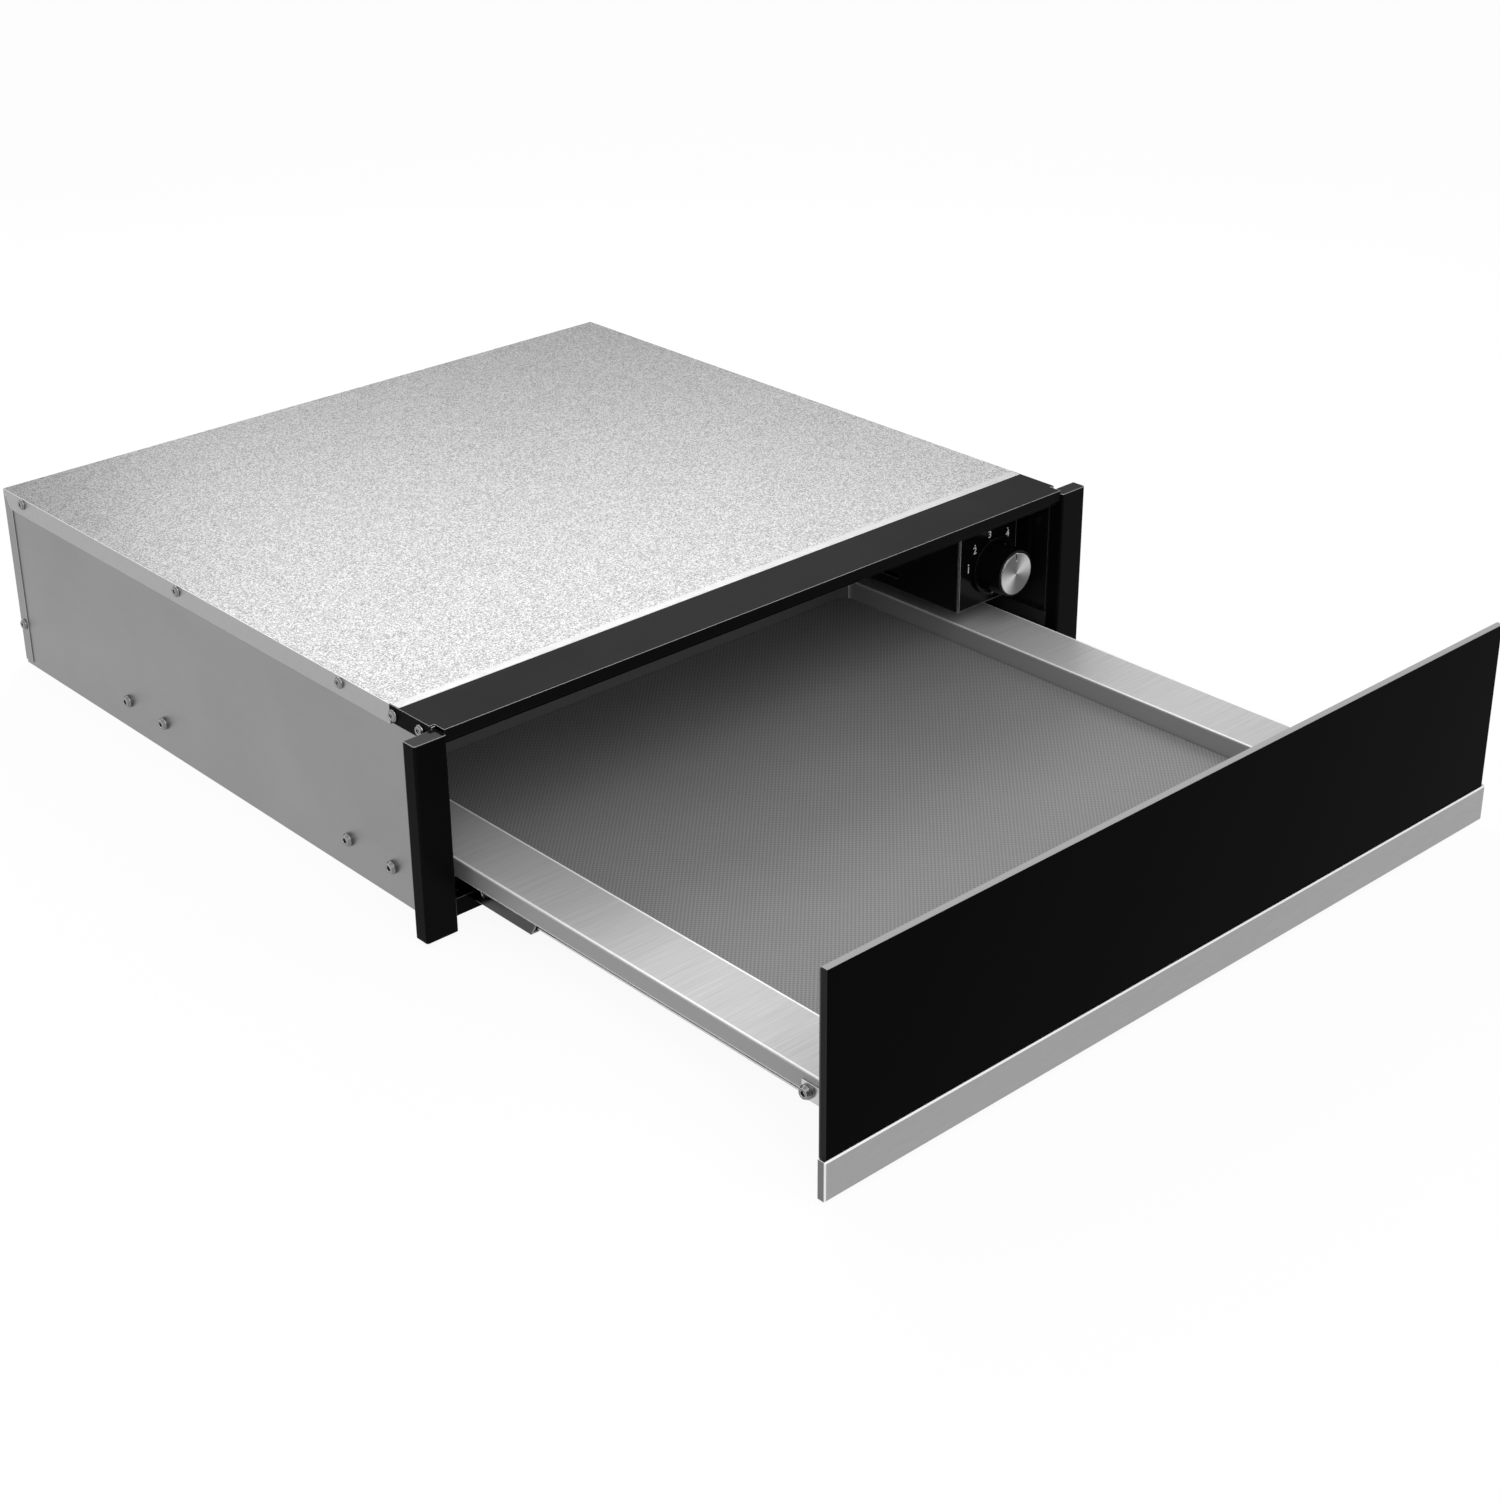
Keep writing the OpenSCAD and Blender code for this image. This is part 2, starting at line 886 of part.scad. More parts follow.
module channel(w, half, lip) {
    translate([0, -half])
        square([slide_wall, 2 * half]);
    up_down() {
        translate([0, half - slide_wall])
            square([w, slide_wall]);
        translate([w - lip_t, half - slide_wall - lip])
            square([lip_t, slide_wall + lip]);
    }
}

module race(u, v) {
    up_down()
        translate([u, v])
            circle(r = ball_r + race_gap);
}

module web_slot(u, y) {
    h = [slide_z - member_slot_h / 2, slide_z + member_slot_h / 2];
    x_prism([slide_out - u - slide_wall - cut, slide_out - u + cut])
        round_rect([y - member_slot_l / 2, y + member_slot_l / 2], h, member_slot_h / 2 - fit);
}

module cabinet_member() {
    color("silver")
    in_case()
    difference() {
        slide_bar([slide_y, slide_end])
            difference() {
                channel(cabinet_w, cabinet_half, lip_h);
                race(outer_ball_u, outer_ball_v);
            }
        for (y = slide_screw_y) {
            x_rod(clear_r, [slide_out - slide_wall - cut, slide_out + cut], y, slide_z);
        }
        web_slot(0, slide_mid_y);
    }
}

module middle_member() {
    color("silver")
    in_slide(middle_share)
    difference() {
        slide_bar([slide_y, slide_end])
            difference() {
                translate([middle_u, 0])
                    channel(middle_w, middle_half, lip_h);
                race(outer_ball_u, outer_ball_v);
                race(inner_ball_u, inner_ball_v);
            }
        for (y = [slide_y + access_in, slide_mid_y, slide_end - access_in]) {
            x_rod(access_r, [slide_in - cut, slide_out], y, slide_z);
        }
        x_prism([slide_in - cut, slide_out])
            polygon([
                [slide_y - cut, slide_z], [slide_y - cut, slide_z - middle_half - cut],
                [slide_y + end_slant, slide_z - middle_half - cut], [slide_y, slide_z]
            ]);
    }
}

module drawer_member() {
    color("silver")
    in_drawer()
    difference() {
        slide_bar([slide_y, slide_end])
            difference() {
                translate([slide_w, 0])
                    mirror([1, 0, 0])
                        channel(slide_w - drawer_u, drawer_half, 0);
                race(inner_ball_u, inner_ball_v);
            }
        for (y = [slide_y + access_in, slide_mid_y, slide_end - access_in]) {
            web_slot(slide_w - slide_wall, y);
        }
    }
}

module left_cabinet_member() {
    left_hand()
        cabinet_member();
}

module right_cabinet_member() {
    cabinet_member();
}

module left_middle_member() {
    left_hand()
        middle_member();
}

module right_middle_member() {
    middle_member();
}

module left_drawer_member() {
    left_hand()
        drawer_member();
}

module right_drawer_member() {
    drawer_member();
}

// Ball cages: a strip between two webs, with a row of pockets in each flange
function row_y(n, pitch) = [for (i = [0:n - 1]) slide_mid_y + (i - (n - 1) / 2) * pitch];

module cage(u, u_end, ball_u, ball_v, n, pitch) {
    reach = (n - 1) * pitch / 2 + cage_end;
    half = ball_v + cage_t / 2;
    difference() {
        slide_bar([slide_mid_y - reach, slide_mid_y + reach])
            polygon([
                [u, -half], [u_end, -half], [u_end, cage_t - half], [u + cage_t, cage_t - half],
                [u + cage_t, half - cage_t], [u_end, half - cage_t], [u_end, half], [u, half]
            ]);
        for (y = row_y(n, pitch)) {
            z_rod(ball_r + pocket_gap, slide_out - ball_u, y, [slide_z + ball_v - ball_r, slide_z + ball_v + ball_r]);
            z_rod(ball_r + pocket_gap, slide_out - ball_u, y, [slide_z - ball_v - ball_r, slide_z - ball_v + ball_r]);
        }
    }
}

module ball_rows(ball_u, ball_v, n, pitch) {
    for (y = row_y(n, pitch)) {
        for (v = [-ball_v, ball_v]) {
            translate([slide_out - ball_u, y, slide_z + v])
                sphere(r = ball_r);
        }
    }
}

module outer_cage() {
    color("darkgray")
    in_slide(outer_cage_share)
        cage(
            slide_wall + cage_gap, cabinet_w - lip_t - race_gap,
            outer_ball_u, outer_ball_v, outer_ball_n, outer_ball_pitch
        );
}

module inner_cage() {
    color("darkgray")
    in_slide(inner_cage_share)
        cage(
            middle_u + slide_wall + cage_gap, middle_u + middle_w - lip_t - race_gap,
            inner_ball_u, inner_ball_v, inner_ball_n, inner_ball_pitch
        );
}

module outer_balls() {
    color("gainsboro")
    in_slide(outer_cage_share)
        ball_rows(outer_ball_u, outer_ball_v, outer_ball_n, outer_ball_pitch);
}

module inner_balls() {
    color("gainsboro")
    in_slide(inner_cage_share)
        ball_rows(inner_ball_u, inner_ball_v, inner_ball_n, inner_ball_pitch);
}

module left_outer_cage() {
    left_hand()
        outer_cage();
}

module right_outer_cage() {
    outer_cage();
}

module left_inner_cage() {
    left_hand()
        inner_cage();
}

module right_inner_cage() {
    inner_cage();
}

module left_outer_balls() {
    left_hand()
        outer_balls();
}

module right_outer_balls() {
    outer_balls();
}

module left_inner_balls() {
    left_hand()
        inner_balls();
}

module right_inner_balls() {
    inner_balls();
}

// Ceiling of the drawer space, with a tongue that runs forward to the top rail's lip
module inner_ceiling() {
    z = [ceiling_z, ceiling_z + sheet_t];
    color("darkgray")
    in_case() {
        block([-side_in, side_in], [seam, rear_wall_back], z);
        block([-rail_half, rail_half], [rail_step_y + sheet_t, seam], z);
    }
}

module inner_rear_wall() {
    half = side_in - sheet_t - fit;
    color("darkgray")
    in_case()
    difference() {
        block([-half, half], [rear_wall_y, rear_wall_back], [sheet_t, ceiling_z]);
        y_rod(gland_r + fit, heater_x, [rear_wall_y - cut, rear_wall_back + cut], gland_z);
    }
}

// Liner: a wall with flanges that reach out to the side panel above and below
module liner() {
    liner_z = tray_top + bracket_foot_gap;
    y = [seam, rear_wall_y - fit];
    color("black")
    in_case() {
        block([liner_in, liner_out], y, [liner_z, ceiling_z]);
        block([liner_in, side_in], y, [ceiling_z - sheet_t, ceiling_z]);
        block([liner_in, side_in], y, [liner_z, liner_z + sheet_t]);
    }
}

module left_liner() {
    left_hand()
        liner();
}

module right_liner() {
    liner();
}

// Control housing: a trough under the ceiling with louvres for the fan and the heater
module louvres(mid_y, l) {
    for (i = [0:louvre_n - 1]) {
        z = housing_z + louvre_low + i * louvre_pitch;
        x_prism([housing_x - cut, housing_in + cut])
            round_rect([mid_y - l / 2, mid_y + l / 2], [z, z + louvre_h], louvre_h / 2 - fit);
    }
}

module control_housing() {
    y = [housing_y, housing_back];
    color("black")
    in_case()
    difference() {
        union() {
            block([housing_x, housing_in], y, [housing_z, ceiling_z]);
            block([housing_x, liner_in], y, [housing_z, housing_floor]);
            block([housing_x, housing_x + housing_flange_w], y, [ceiling_z - sheet_t, ceiling_z]);
            block([liner_in - sheet_t, liner_in], y, [housing_z, housing_z + housing_flange_w]);
            block([housing_x, liner_in], [housing_back - sheet_t, housing_back], [housing_z, ceiling_z]);
        }
        louvres(fan_y - louvre_fan_shift, louvre_len);
        louvres((heater_front_y + heater_back_y) / 2, heat_louvre_len);
        y_rod(cable_hole_r, heater_x, [housing_back - sheet_t - cut, housing_back + cut], gland_z);
    }
}

module control_fascia() {
    color("black")
    in_case()
    difference() {
        bevelled_plate(
            [housing_x, housing_x + fascia_w], [fascia_y, housing_y], [housing_z, ceiling_z - fit],
            fascia_edge
        );
        y_rod(switch_bush_r + fit, knob_x, [fascia_y - cut, housing_y + cut], knob_z);
    }
}

// Bezel: a dish that the knob's foot stands in
module knob_bezel() {
    y = [fascia_y - bezel_h, fascia_y];
    color("black")
    in_case()
    difference() {
        y_rod(bezel_r, knob_x, y, knob_z);
        y_rod(bezel_r - bezel_rim_t, knob_x, [y[0] - cut, fascia_y - bezel_base_t], knob_z);
        y_rod(switch_bush_r + fit, knob_x, [y[0] - cut, fascia_y + cut], knob_z);
    }
}

// Selector switch behind the fascia, with its bush through it and six tabs at the back
module selector_switch() {
    half = switch_w / 2;
    y = [housing_y, housing_y + switch_d];
    color("dimgray")
    in_case()
    difference() {
        union() {
            block([knob_x - half, knob_x + half], y, [knob_z - half, knob_z + half]);
            y_rod(switch_bush_r, knob_x, [fascia_y - bezel_base_t, housing_y], knob_z);
            for (i = [-1, 1]) {
                for (k = [-1:1]) {
                    x = knob_x + i * switch_tab_x;
                    z = knob_z + k * switch_tab_x;
                    block([x, x + switch_tab_t], [y[1], y[1] + switch_tab_l], [z, z + switch_tab_w]);
                }
            }
        }
        y_rod(spindle_r + shaft_fit, knob_x, [fascia_y - cut - bezel_base_t, y[1] - spindle_end_in], knob_z);
    }
}

// Knob: a tapered shell round a hub, a turned cap with the pointer, and the spindle
module on_knob_axis(y) {
    translate([knob_x, y, knob_z])
        rotate([-90, 0, 0])
            children();
}

module knob_body() {
    color("black")
    in_case()
    difference() {
        on_knob_axis(knob_front_y)
            cylinder(r1 = knob_top_r, r2 = knob_r, h = knob_len);
        y_rod(cap_r + fit, knob_x, [knob_front_y - cut, knob_front_y + cap_t - cap_proud], knob_z);
        difference() {
            y_rod(knob_top_r - knob_wall, knob_x, [knob_front_y + knob_skin, knob_foot_y + cut], knob_z);
            y_rod(knob_hub_r, knob_x, [knob_front_y + knob_skin, knob_foot_y + cut], knob_z);
        }
        y_rod(spindle_r + shaft_fit, knob_x, [knob_front_y + knob_skin, knob_foot_y + cut], knob_z);
    }
}

module knob_cap() {
    y = knob_front_y - cap_proud;
    color("gainsboro")
    in_case()
    difference() {
        union() {
            on_knob_axis(y)
                cylinder(r1 = cap_r - cap_bevel, r2 = cap_r, h = cap_bevel);
            on_knob_axis(y + cap_bevel)
                cylinder(r = cap_r, h = cap_t - cap_bevel);
        }
        block(
            [knob_x - pointer_w / 2, knob_x + pointer_w / 2],
            [y - cut, y + pointer_depth],
            [knob_z + cap_r - pointer_l, knob_z + cap_r + cut]
        );
    }
}

module knob_spindle() {
    color("silver")
    in_case()
        y_rod(spindle_r, knob_x, [knob_front_y + knob_skin, housing_y + switch_d - spindle_end_in - fit], knob_z);
}

// Fan housing: the scroll's outline grows clockwise from the tongue and ends in the outlet
function tongue_angle(wall) = acos((scroll_end_r - outlet_h + wall) / (scroll_r - wall));

function scroll_points(wall) = [
    for (i = [0:scroll_n])
        let (a = tongue_angle(wall) + i * (360 - tongue_angle(wall)) / scroll_n)
        let (r = scroll_r + scroll_growth * a / 360 - wall)
            [r * sin(a), r * cos(a)]
];

module scroll_outline(wall, past) {
    outlet_points = [
        [outlet_y + past, scroll_end_r - wall],
        [outlet_y + past, scroll_end_r - outlet_h + wall]
    ];
    translate([fan_y, fan_z])
        polygon(concat(scroll_points(wall), outlet_points));
}

module fan_housing() {
    x = [fan_x, fan_x + fan_w];
    color("dimgray")
    in_case()
    difference() {
        x_prism(x)
            scroll_outline(0, 0);
        x_prism([x[0] + fan_wall, x[1] - fan_wall])
            scroll_outline(fan_wall, cut);
        x_rod(impeller_r - blade_depth, [x[0] - cut, x[0] + fan_wall + cut], fan_y, fan_z);
        x_rod(fan_shaft_r + shaft_fit, [x[1] - fan_wall - cut, x[1] + cut], fan_y, fan_z);
    }
}

// Impeller: forward-curved blades between a ring and a disc on the hub
module blade_outline() {
    intersection() {
        difference() {
            circle(r = impeller_r - blade_inset);
            circle(r = impeller_r - blade_depth + blade_inset);
        }
        translate([impeller_r - 2 * blade_depth / 3, -blade_curve_r])
            difference() {
                circle(r = blade_curve_r);
                circle(r = blade_curve_r - blade_t);
            }
        translate([0, -blade_sag])
            square([impeller_r, 2 * blade_sag]);
    }
}

module fan_impeller() {
    x = [fan_x + fan_wall + impeller_gap, fan_x + fan_w - fan_wall - impeller_gap];
    color("silver")
    in_case()
    union() {
        x_prism([x[0] + impeller_disc_t, x[1] - impeller_disc_t])
            translate([fan_y, fan_z])
                for (i = [0:blade_n - 1]) {
                    rotate(i * 360 / blade_n)
                        blade_outline();
                }
        difference() {
            x_rod(impeller_r, [x[0], x[0] + impeller_disc_t], fan_y, fan_z);
            x_rod(impeller_r - blade_depth, [x[0] - cut, x[1]], fan_y, fan_z);
        }
        x_rod(impeller_r, [x[1] - impeller_disc_t, x[1]], fan_y, fan_z);
        x_rod(impeller_hub_r, [x[0] + impeller_disc_t, x[1]], fan_y, fan_z);
        x_rod(fan_shaft_r, [x[1], fan_x + fan_w + fan_shaft_past], fan_y, fan_z);
    }
}

// Fan motor: a can on the fan housing, carried from the liner on a bolted foot
module fan_motor() {
    x = fan_x + fan_w;
    color("gray")
    in_case()
    difference() {
        union() {
            x_rod(motor_r, [x, x + motor_len], fan_y, fan_z);
            x_rod(motor_neck_r, [x + motor_len, liner_in], fan_y, fan_z);
            x_rod(motor_foot_r, [liner_in - motor_foot_t, liner_in], fan_y, fan_z);
        }
        x_rod(fan_shaft_r + shaft_fit, [x - cut, x + fan_shaft_past + fit], fan_y, fan_z);
        for (i = [0:2]) {
            a = i * 120;
            x_rod(
                motor_bolt_r, [liner_in - motor_foot_t - cut, liner_in + cut],
                fan_y + motor_bolt_ring_r * cos(a), fan_z + motor_bolt_ring_r * sin(a)
            );
        }
    }
}

// Heating element: a serpentine tube whose two ends pass through a bulkhead
function heater_pass_z(i) = housing_floor + heater_end_in + i * heater_pitch;

module heater_bend(y, z) {
    translate([heater_x, y, z])
        rotate([0, 90, 0])
            rotate_extrude(angle = 180)
                translate([heater_pitch / 2, 0])
                    circle(r = heater_r);
}

module heater_bend_front(y, z) {
    translate([0, y, 0])
        mirror([0, 1, 0])
            heater_bend(0, z);
}

module heating_element() {
    last = heater_pass_n - 1;
    color("silver")
    in_case()
    union() {
        for (i = [0:last]) {
            y_end = (i == 0 || i == last) ? bulkhead_y + bulkhead_t + heater_tail : heater_back_y;
            y_rod(heater_r, heater_x, [heater_front_y, y_end], heater_pass_z(i));
        }
        for (i = [0:2:last - 1]) {
            heater_bend_front(heater_front_y, heater_pass_z(i) + heater_pitch / 2);
        }
        for (i = [1:2:last - 1]) {
            heater_bend(heater_back_y, heater_pass_z(i) + heater_pitch / 2);
        }
        block(
            [housing_in, liner_in - sheet_t],
            [bulkhead_y, bulkhead_y + bulkhead_t],
            [housing_floor, ceiling_z - sheet_t]
        );
    }
}

module thermal_cutout() {
    z = heater_pass_z((heater_pass_n - 1) / 2);
    y = bulkhead_y + bulkhead_t;
    color("black")
    in_case()
    union() {
        y_rod(cutout_r, heater_x, [y, y + cutout_t], z);
        for (i = [-1, 1]) {
            x = heater_x + i * cutout_tab_x;
            block([x - cutout_tab_w / 2, x + cutout_tab_w / 2], [y + cutout_t, y + 2 * cutout_t], [z, z + sheet_t]);
        }
    }
}

// Terminal block: clamps in a stepped row with a rib between neighbours
module terminal_block() {
    x = [heater_x - terminal_w / 2, heater_x + terminal_w / 2];
    y = [housing_back - terminal_back_in - terminal_d, housing_back - terminal_back_in];
    top = housing_floor + terminal_h;
    pitch = terminal_w / terminal_n;
    color("white")
    in_case()
    difference() {
        union() {
            block(x, y, [housing_floor, top - terminal_step]);
            block(x, [y[0] + terminal_step, y[1] - terminal_step], [housing_floor, top]);
            for (i = [0:terminal_n]) {
                rib_x = x[0] + (i / terminal_n) * (terminal_w - terminal_rib_t);
                block([rib_x, rib_x + terminal_rib_t], y, [housing_floor, top]);
            }
        }
        for (i = [0:terminal_n - 1]) {
            for (screw_y = [y[0] + 2 * terminal_step, y[1] - 2 * terminal_step]) {
                z_rod(terminal_screw_r, x[0] + (i + 1 / 2) * pitch, screw_y, [top - terminal_screw_depth, top + cut]);
            }
        }
    }
}

// Cord gland: a flanged bush through the rear panel with a nut behind it
module cord_gland() {
    dome_y = case_depth + gland_flange_t;
    color("black")
    in_case()
    difference() {
        union() {
            y_rod(gland_r, heater_x, [case_depth - gland_inner_l, dome_y], gland_z);
            y_rod(gland_flange_r, heater_x, [case_depth, dome_y], gland_z);
            translate([heater_x, dome_y, gland_z])
                rotate([-90, 0, 0])
                    cylinder(r1 = gland_flange_r - fit, r2 = gland_r, h = gland_dome_l);
            translate([heater_x, rear_in - gland_nut_t, gland_z])
                rotate([-90, 0, 0])
                    cylinder(r = gland_flange_r, h = gland_nut_t, $fn = 6);
        }
        y_rod(gland_bore_r, heater_x, [case_depth - gland_inner_l - cut, dome_y + gland_dome_l + cut], gland_z);
    }
}

// Push latch: a housing on the base whose plunger meets a strike under the tray
module latch_housing() {
    y = [latch_y, latch_y + latch_len];
    bore_end = latch_y - plunger_reach + plunger_len + plunger_end_gap;
    color("dimgray")
    in_case()
    difference() {
        union() {
            block([-latch_w / 2, latch_w / 2], y, [sheet_t, latch_top]);
            block(
                [-latch_w / 2 - latch_ear_l, latch_w / 2 + latch_ear_l],
                [y[0] + latch_ear_l, y[1] - latch_ear_l],
                [sheet_t, sheet_t + latch_ear_h]
            );
        }
        y_rod(plunger_r + fit, 0, [latch_y - cut, bore_end], plunger_z);
        both_sides()
            z_rod(
                latch_hole_r, (latch_w + latch_ear_l) / 2, latch_y + latch_len / 2,
                [sheet_t - cut, sheet_t + latch_ear_h + cut]
            );
    }
}

module latch_plunger() {
    head_y = latch_y - plunger_reach;
    color("white")
    in_case()
    union() {
        y_rod(plunger_r, 0, [head_y, head_y + plunger_len], plunger_z);
        y_rod(plunger_head_r, 0, [head_y - plunger_head_l, head_y], plunger_z);
    }
}

module latch_strike() {
    color("silver")
    in_drawer()
    union() {
        block([-strike_w / 2, strike_w / 2], [strike_y - strike_t, strike_y], [strike_z, well_under]);
        block([-strike_w / 2, strike_w / 2], [strike_y - strike_foot, strike_y], [well_under - strike_t, well_under]);
    }
}

// Tray: a flat flange round a deep-drawn well, with folded skirts
module tray() {
    well_x = [-well_half, well_half];
    well_y = [tray_front + tray_end_w, tray_back - tray_end_w];
    skirt_x = [-end_skirt_half, end_skirt_half];
    color("silver")
    in_drawer()
    difference() {
        union() {
            block([-tray_half, tray_half], [tray_front, tray_back], [tray_under, tray_top]);
            both_sides()
                block([tray_half - sheet_t, tray_half], [tray_front, tray_back], [skirt_z, tray_top]);
            block(skirt_x, [tray_front, tray_front + sheet_t], [front_skirt_z, tray_top]);
            block(skirt_x, [tray_back - sheet_t, tray_back], [skirt_z, tray_top]);
            z_prism([well_under, tray_top])
                round_rect(
                    [well_x[0] - sheet_t, well_x[1] + sheet_t],
                    [well_y[0] - sheet_t, well_y[1] + sheet_t],
                    well_r + sheet_t
                );
        }
        z_prism([well_floor, tray_top + cut])
            round_rect(well_x, well_y, well_r);
    }
}

module tray_mat() {
    half = well_half - mat_gap;
    color("darkgray")
    in_drawer()
    z_prism([well_floor, well_floor + mat_t])
        round_rect(
            [-half, half],
            [tray_front + tray_end_w + mat_gap, tray_back - tray_end_w - mat_gap],
            well_r - mat_gap
        );
}

// Runner bracket: an angle that hangs the tray's flange on the drawer member
module runner_bracket() {
    color("silver")
    in_drawer()
    y_prism([slide_y - runner_past, slide_end + runner_past])
        polygon([
            [slide_in, slide_z - drawer_half], [slide_in, tray_under],
            [slide_in - runner_w, tray_under], [slide_in - runner_w, tray_under - runner_t],
            [slide_in - runner_t, tray_under - runner_t], [slide_in - runner_t, slide_z - drawer_half]
        ]);
}

module left_runner_bracket() {
    left_hand()
        runner_bracket();
}

module right_runner_bracket() {
    runner_bracket();
}

// Carrier plate, glass and trim strip
carrier_screw_x = tray_half + bracket_flange_w / 2;
carrier_screw_z = [
    bracket_flange_z + carrier_screw_end_in,
    bracket_flange_z + bracket_flange_h - carrier_screw_end_in
];
skirt_screw_y = front_back + bracket_len - bracket_screw_in;
bracket_z = skirt_z - bracket_foot_gap;
skirt_screw_z = bracket_z + bracket_screw_z_in;

module front_carrier() {
    half = front_half - carrier_side_in;
    color("dimgray")
    in_drawer()
    difference() {
        block([-half, half], [carrier_front, front_back], [front_lift + carrier_foot_in, front_top - carrier_end_in]);
        both_sides() {
            for (z = carrier_screw_z) {
                y_rod(clear_r, carrier_screw_x, [carrier_front - cut, front_back + cut], z);
            }
        }
    }
}

module glass_panel() {
    color("black")
    in_drawer()
        bevelled_plate(
            [-glass_half, glass_half], [glass_front, carrier_front], [trim_top, front_top],
            glass_bevel
        );
}

module front_trim() {
    half = front_half - trim_t;
    color("silver")
    in_drawer()
    difference() {
        bevelled_plate(
            [-front_half, front_half], [trim_front, carrier_front], [front_lift, trim_top],
            trim_bevel
        );
        block(
            [-half, half],
            [trim_front + trim_t, carrier_front + cut],
            [front_lift + trim_t, trim_top - trim_t]
        );
    }
}

// Front bracket: an angle from the tray's skirt to the back of the carrier plate
module front_bracket() {
    plate_x = [tray_half, tray_half + bracket_t];
    color("silver")
    in_drawer()
    difference() {
        union() {
            block(plate_x, [front_back, front_back + bracket_len], [bracket_z, bracket_z + bracket_h]);
            block(
                [tray_half, tray_half + bracket_flange_w],
                [front_back, front_back + bracket_t],
                [bracket_flange_z, bracket_flange_z + bracket_flange_h]
            );
        }
        x_rod(clear_r, [tray_half - cut, plate_x[1] + cut], skirt_screw_y, skirt_screw_z);
        for (z = carrier_screw_z) {
            y_rod(clear_r, carrier_screw_x, [front_back - cut, front_back + bracket_t + cut], z);
        }
    }
}

module left_front_bracket() {
    left_hand()
        front_bracket();
}

module right_front_bracket() {
    front_bracket();
}

module bracket_screws() {
    color("silver")
    in_drawer()
    both_sides() {
        screw_out(tray_half + bracket_t, skirt_screw_y, skirt_screw_z, button_head_r, button_head_h, bracket_t);
        for (z = carrier_screw_z) {
            screw_back(
                carrier_screw_x, front_back + bracket_t, z,
                pan_head_r, post_screw_head_h, shank_r, bracket_t + carrier_t
            );
        }
    }
}

base_pan();
left_side_panel();
right_side_panel();
top_cover();
rear_panel();
cover_screws();
frame_top_rail();
frame_bottom_rail();
frame_left_post();
frame_right_post();
frame_screws();
slide_screws();
slide_bushes();
left_cabinet_member();
right_cabinet_member();
inner_ceiling();
inner_rear_wall();
left_liner();
right_liner();
control_housing();
control_fascia();
knob_bezel();
selector_switch();
fan_housing();
fan_motor();
heating_element();
thermal_cutout();
terminal_block();
cord_gland();
latch_housing();
tray();
tray_mat();
left_runner_bracket();
right_runner_bracket();
front_carrier();
glass_panel();
front_trim();
left_front_bracket();
right_front_bracket();
bracket_screws();
left_drawer_member();
right_drawer_member();
latch_strike();
left_middle_member();
right_middle_member();
left_outer_cage();
left_inner_cage();
right_outer_cage();
right_inner_cage();
left_outer_balls();
left_inner_balls();
right_outer_balls();
right_inner_balls();
knob_body();
knob_cap();
knob_spindle();
fan_impeller();
latch_plunger();
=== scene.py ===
# %% [markdown]
# # A built-in warming drawer
#
# The drawer is a flat steel box that slides into a kitchen niche under an oven. Pulled open, it
# shows a brushed tray with a ribbed mat, a dark glass front with a steel strip, and a small
# dial on the right. Its construction arrives as a fixed model. This lesson gives every part its
# finish, adds the printed dial and the fine edges, and lights it like a catalogue picture.

import json
import math

import bpy
from mathutils import Matrix, Quaternion, Vector

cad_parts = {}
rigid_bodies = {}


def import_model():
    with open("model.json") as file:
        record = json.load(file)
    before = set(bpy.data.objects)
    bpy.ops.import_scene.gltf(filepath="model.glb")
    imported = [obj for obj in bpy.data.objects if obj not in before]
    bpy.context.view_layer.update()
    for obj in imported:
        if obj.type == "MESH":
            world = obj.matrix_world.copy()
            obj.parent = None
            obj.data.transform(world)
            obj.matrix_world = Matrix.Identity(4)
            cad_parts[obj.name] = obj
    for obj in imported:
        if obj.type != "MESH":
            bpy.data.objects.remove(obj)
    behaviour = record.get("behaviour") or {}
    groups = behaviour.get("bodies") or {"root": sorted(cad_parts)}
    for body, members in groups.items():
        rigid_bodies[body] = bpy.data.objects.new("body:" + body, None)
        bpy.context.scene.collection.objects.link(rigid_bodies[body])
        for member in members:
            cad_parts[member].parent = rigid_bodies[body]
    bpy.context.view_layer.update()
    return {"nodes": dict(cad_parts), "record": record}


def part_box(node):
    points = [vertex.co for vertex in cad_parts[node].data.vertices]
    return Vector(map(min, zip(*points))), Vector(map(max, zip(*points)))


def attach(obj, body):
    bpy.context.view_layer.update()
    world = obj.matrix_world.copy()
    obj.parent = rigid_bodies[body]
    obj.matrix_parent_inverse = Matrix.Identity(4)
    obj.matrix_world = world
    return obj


for leftover in list(bpy.data.objects):
    bpy.data.objects.remove(leftover)
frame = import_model()
MM = 0.001

# %% [markdown]
# ## The camera
#
# The picture is taken from the front left, a little above the top cover. A long lens flattens
# the box only slightly, so its sides still run together. The lens is given by the number of
# pixels that it spreads one radian over on a 1500 pixel wide print, which turns into
# millimetres on a 36 mm film. A small shift centres the drawer on the print without tilting the
# camera.

# %% Place the camera
PRINT_SIDE = 1500
FILM_WIDTH = 36.0
LENS_PIXELS = 2597
AXIS_PIXEL = (701, 660)
CAMERA_PLACE = Vector((-1.0566, -1.4003, 0.8344))
CAMERA_AIM = Vector((-0.0033, -0.1975, 0.070))
CAMERA_ROLL = math.radians(-0.96)

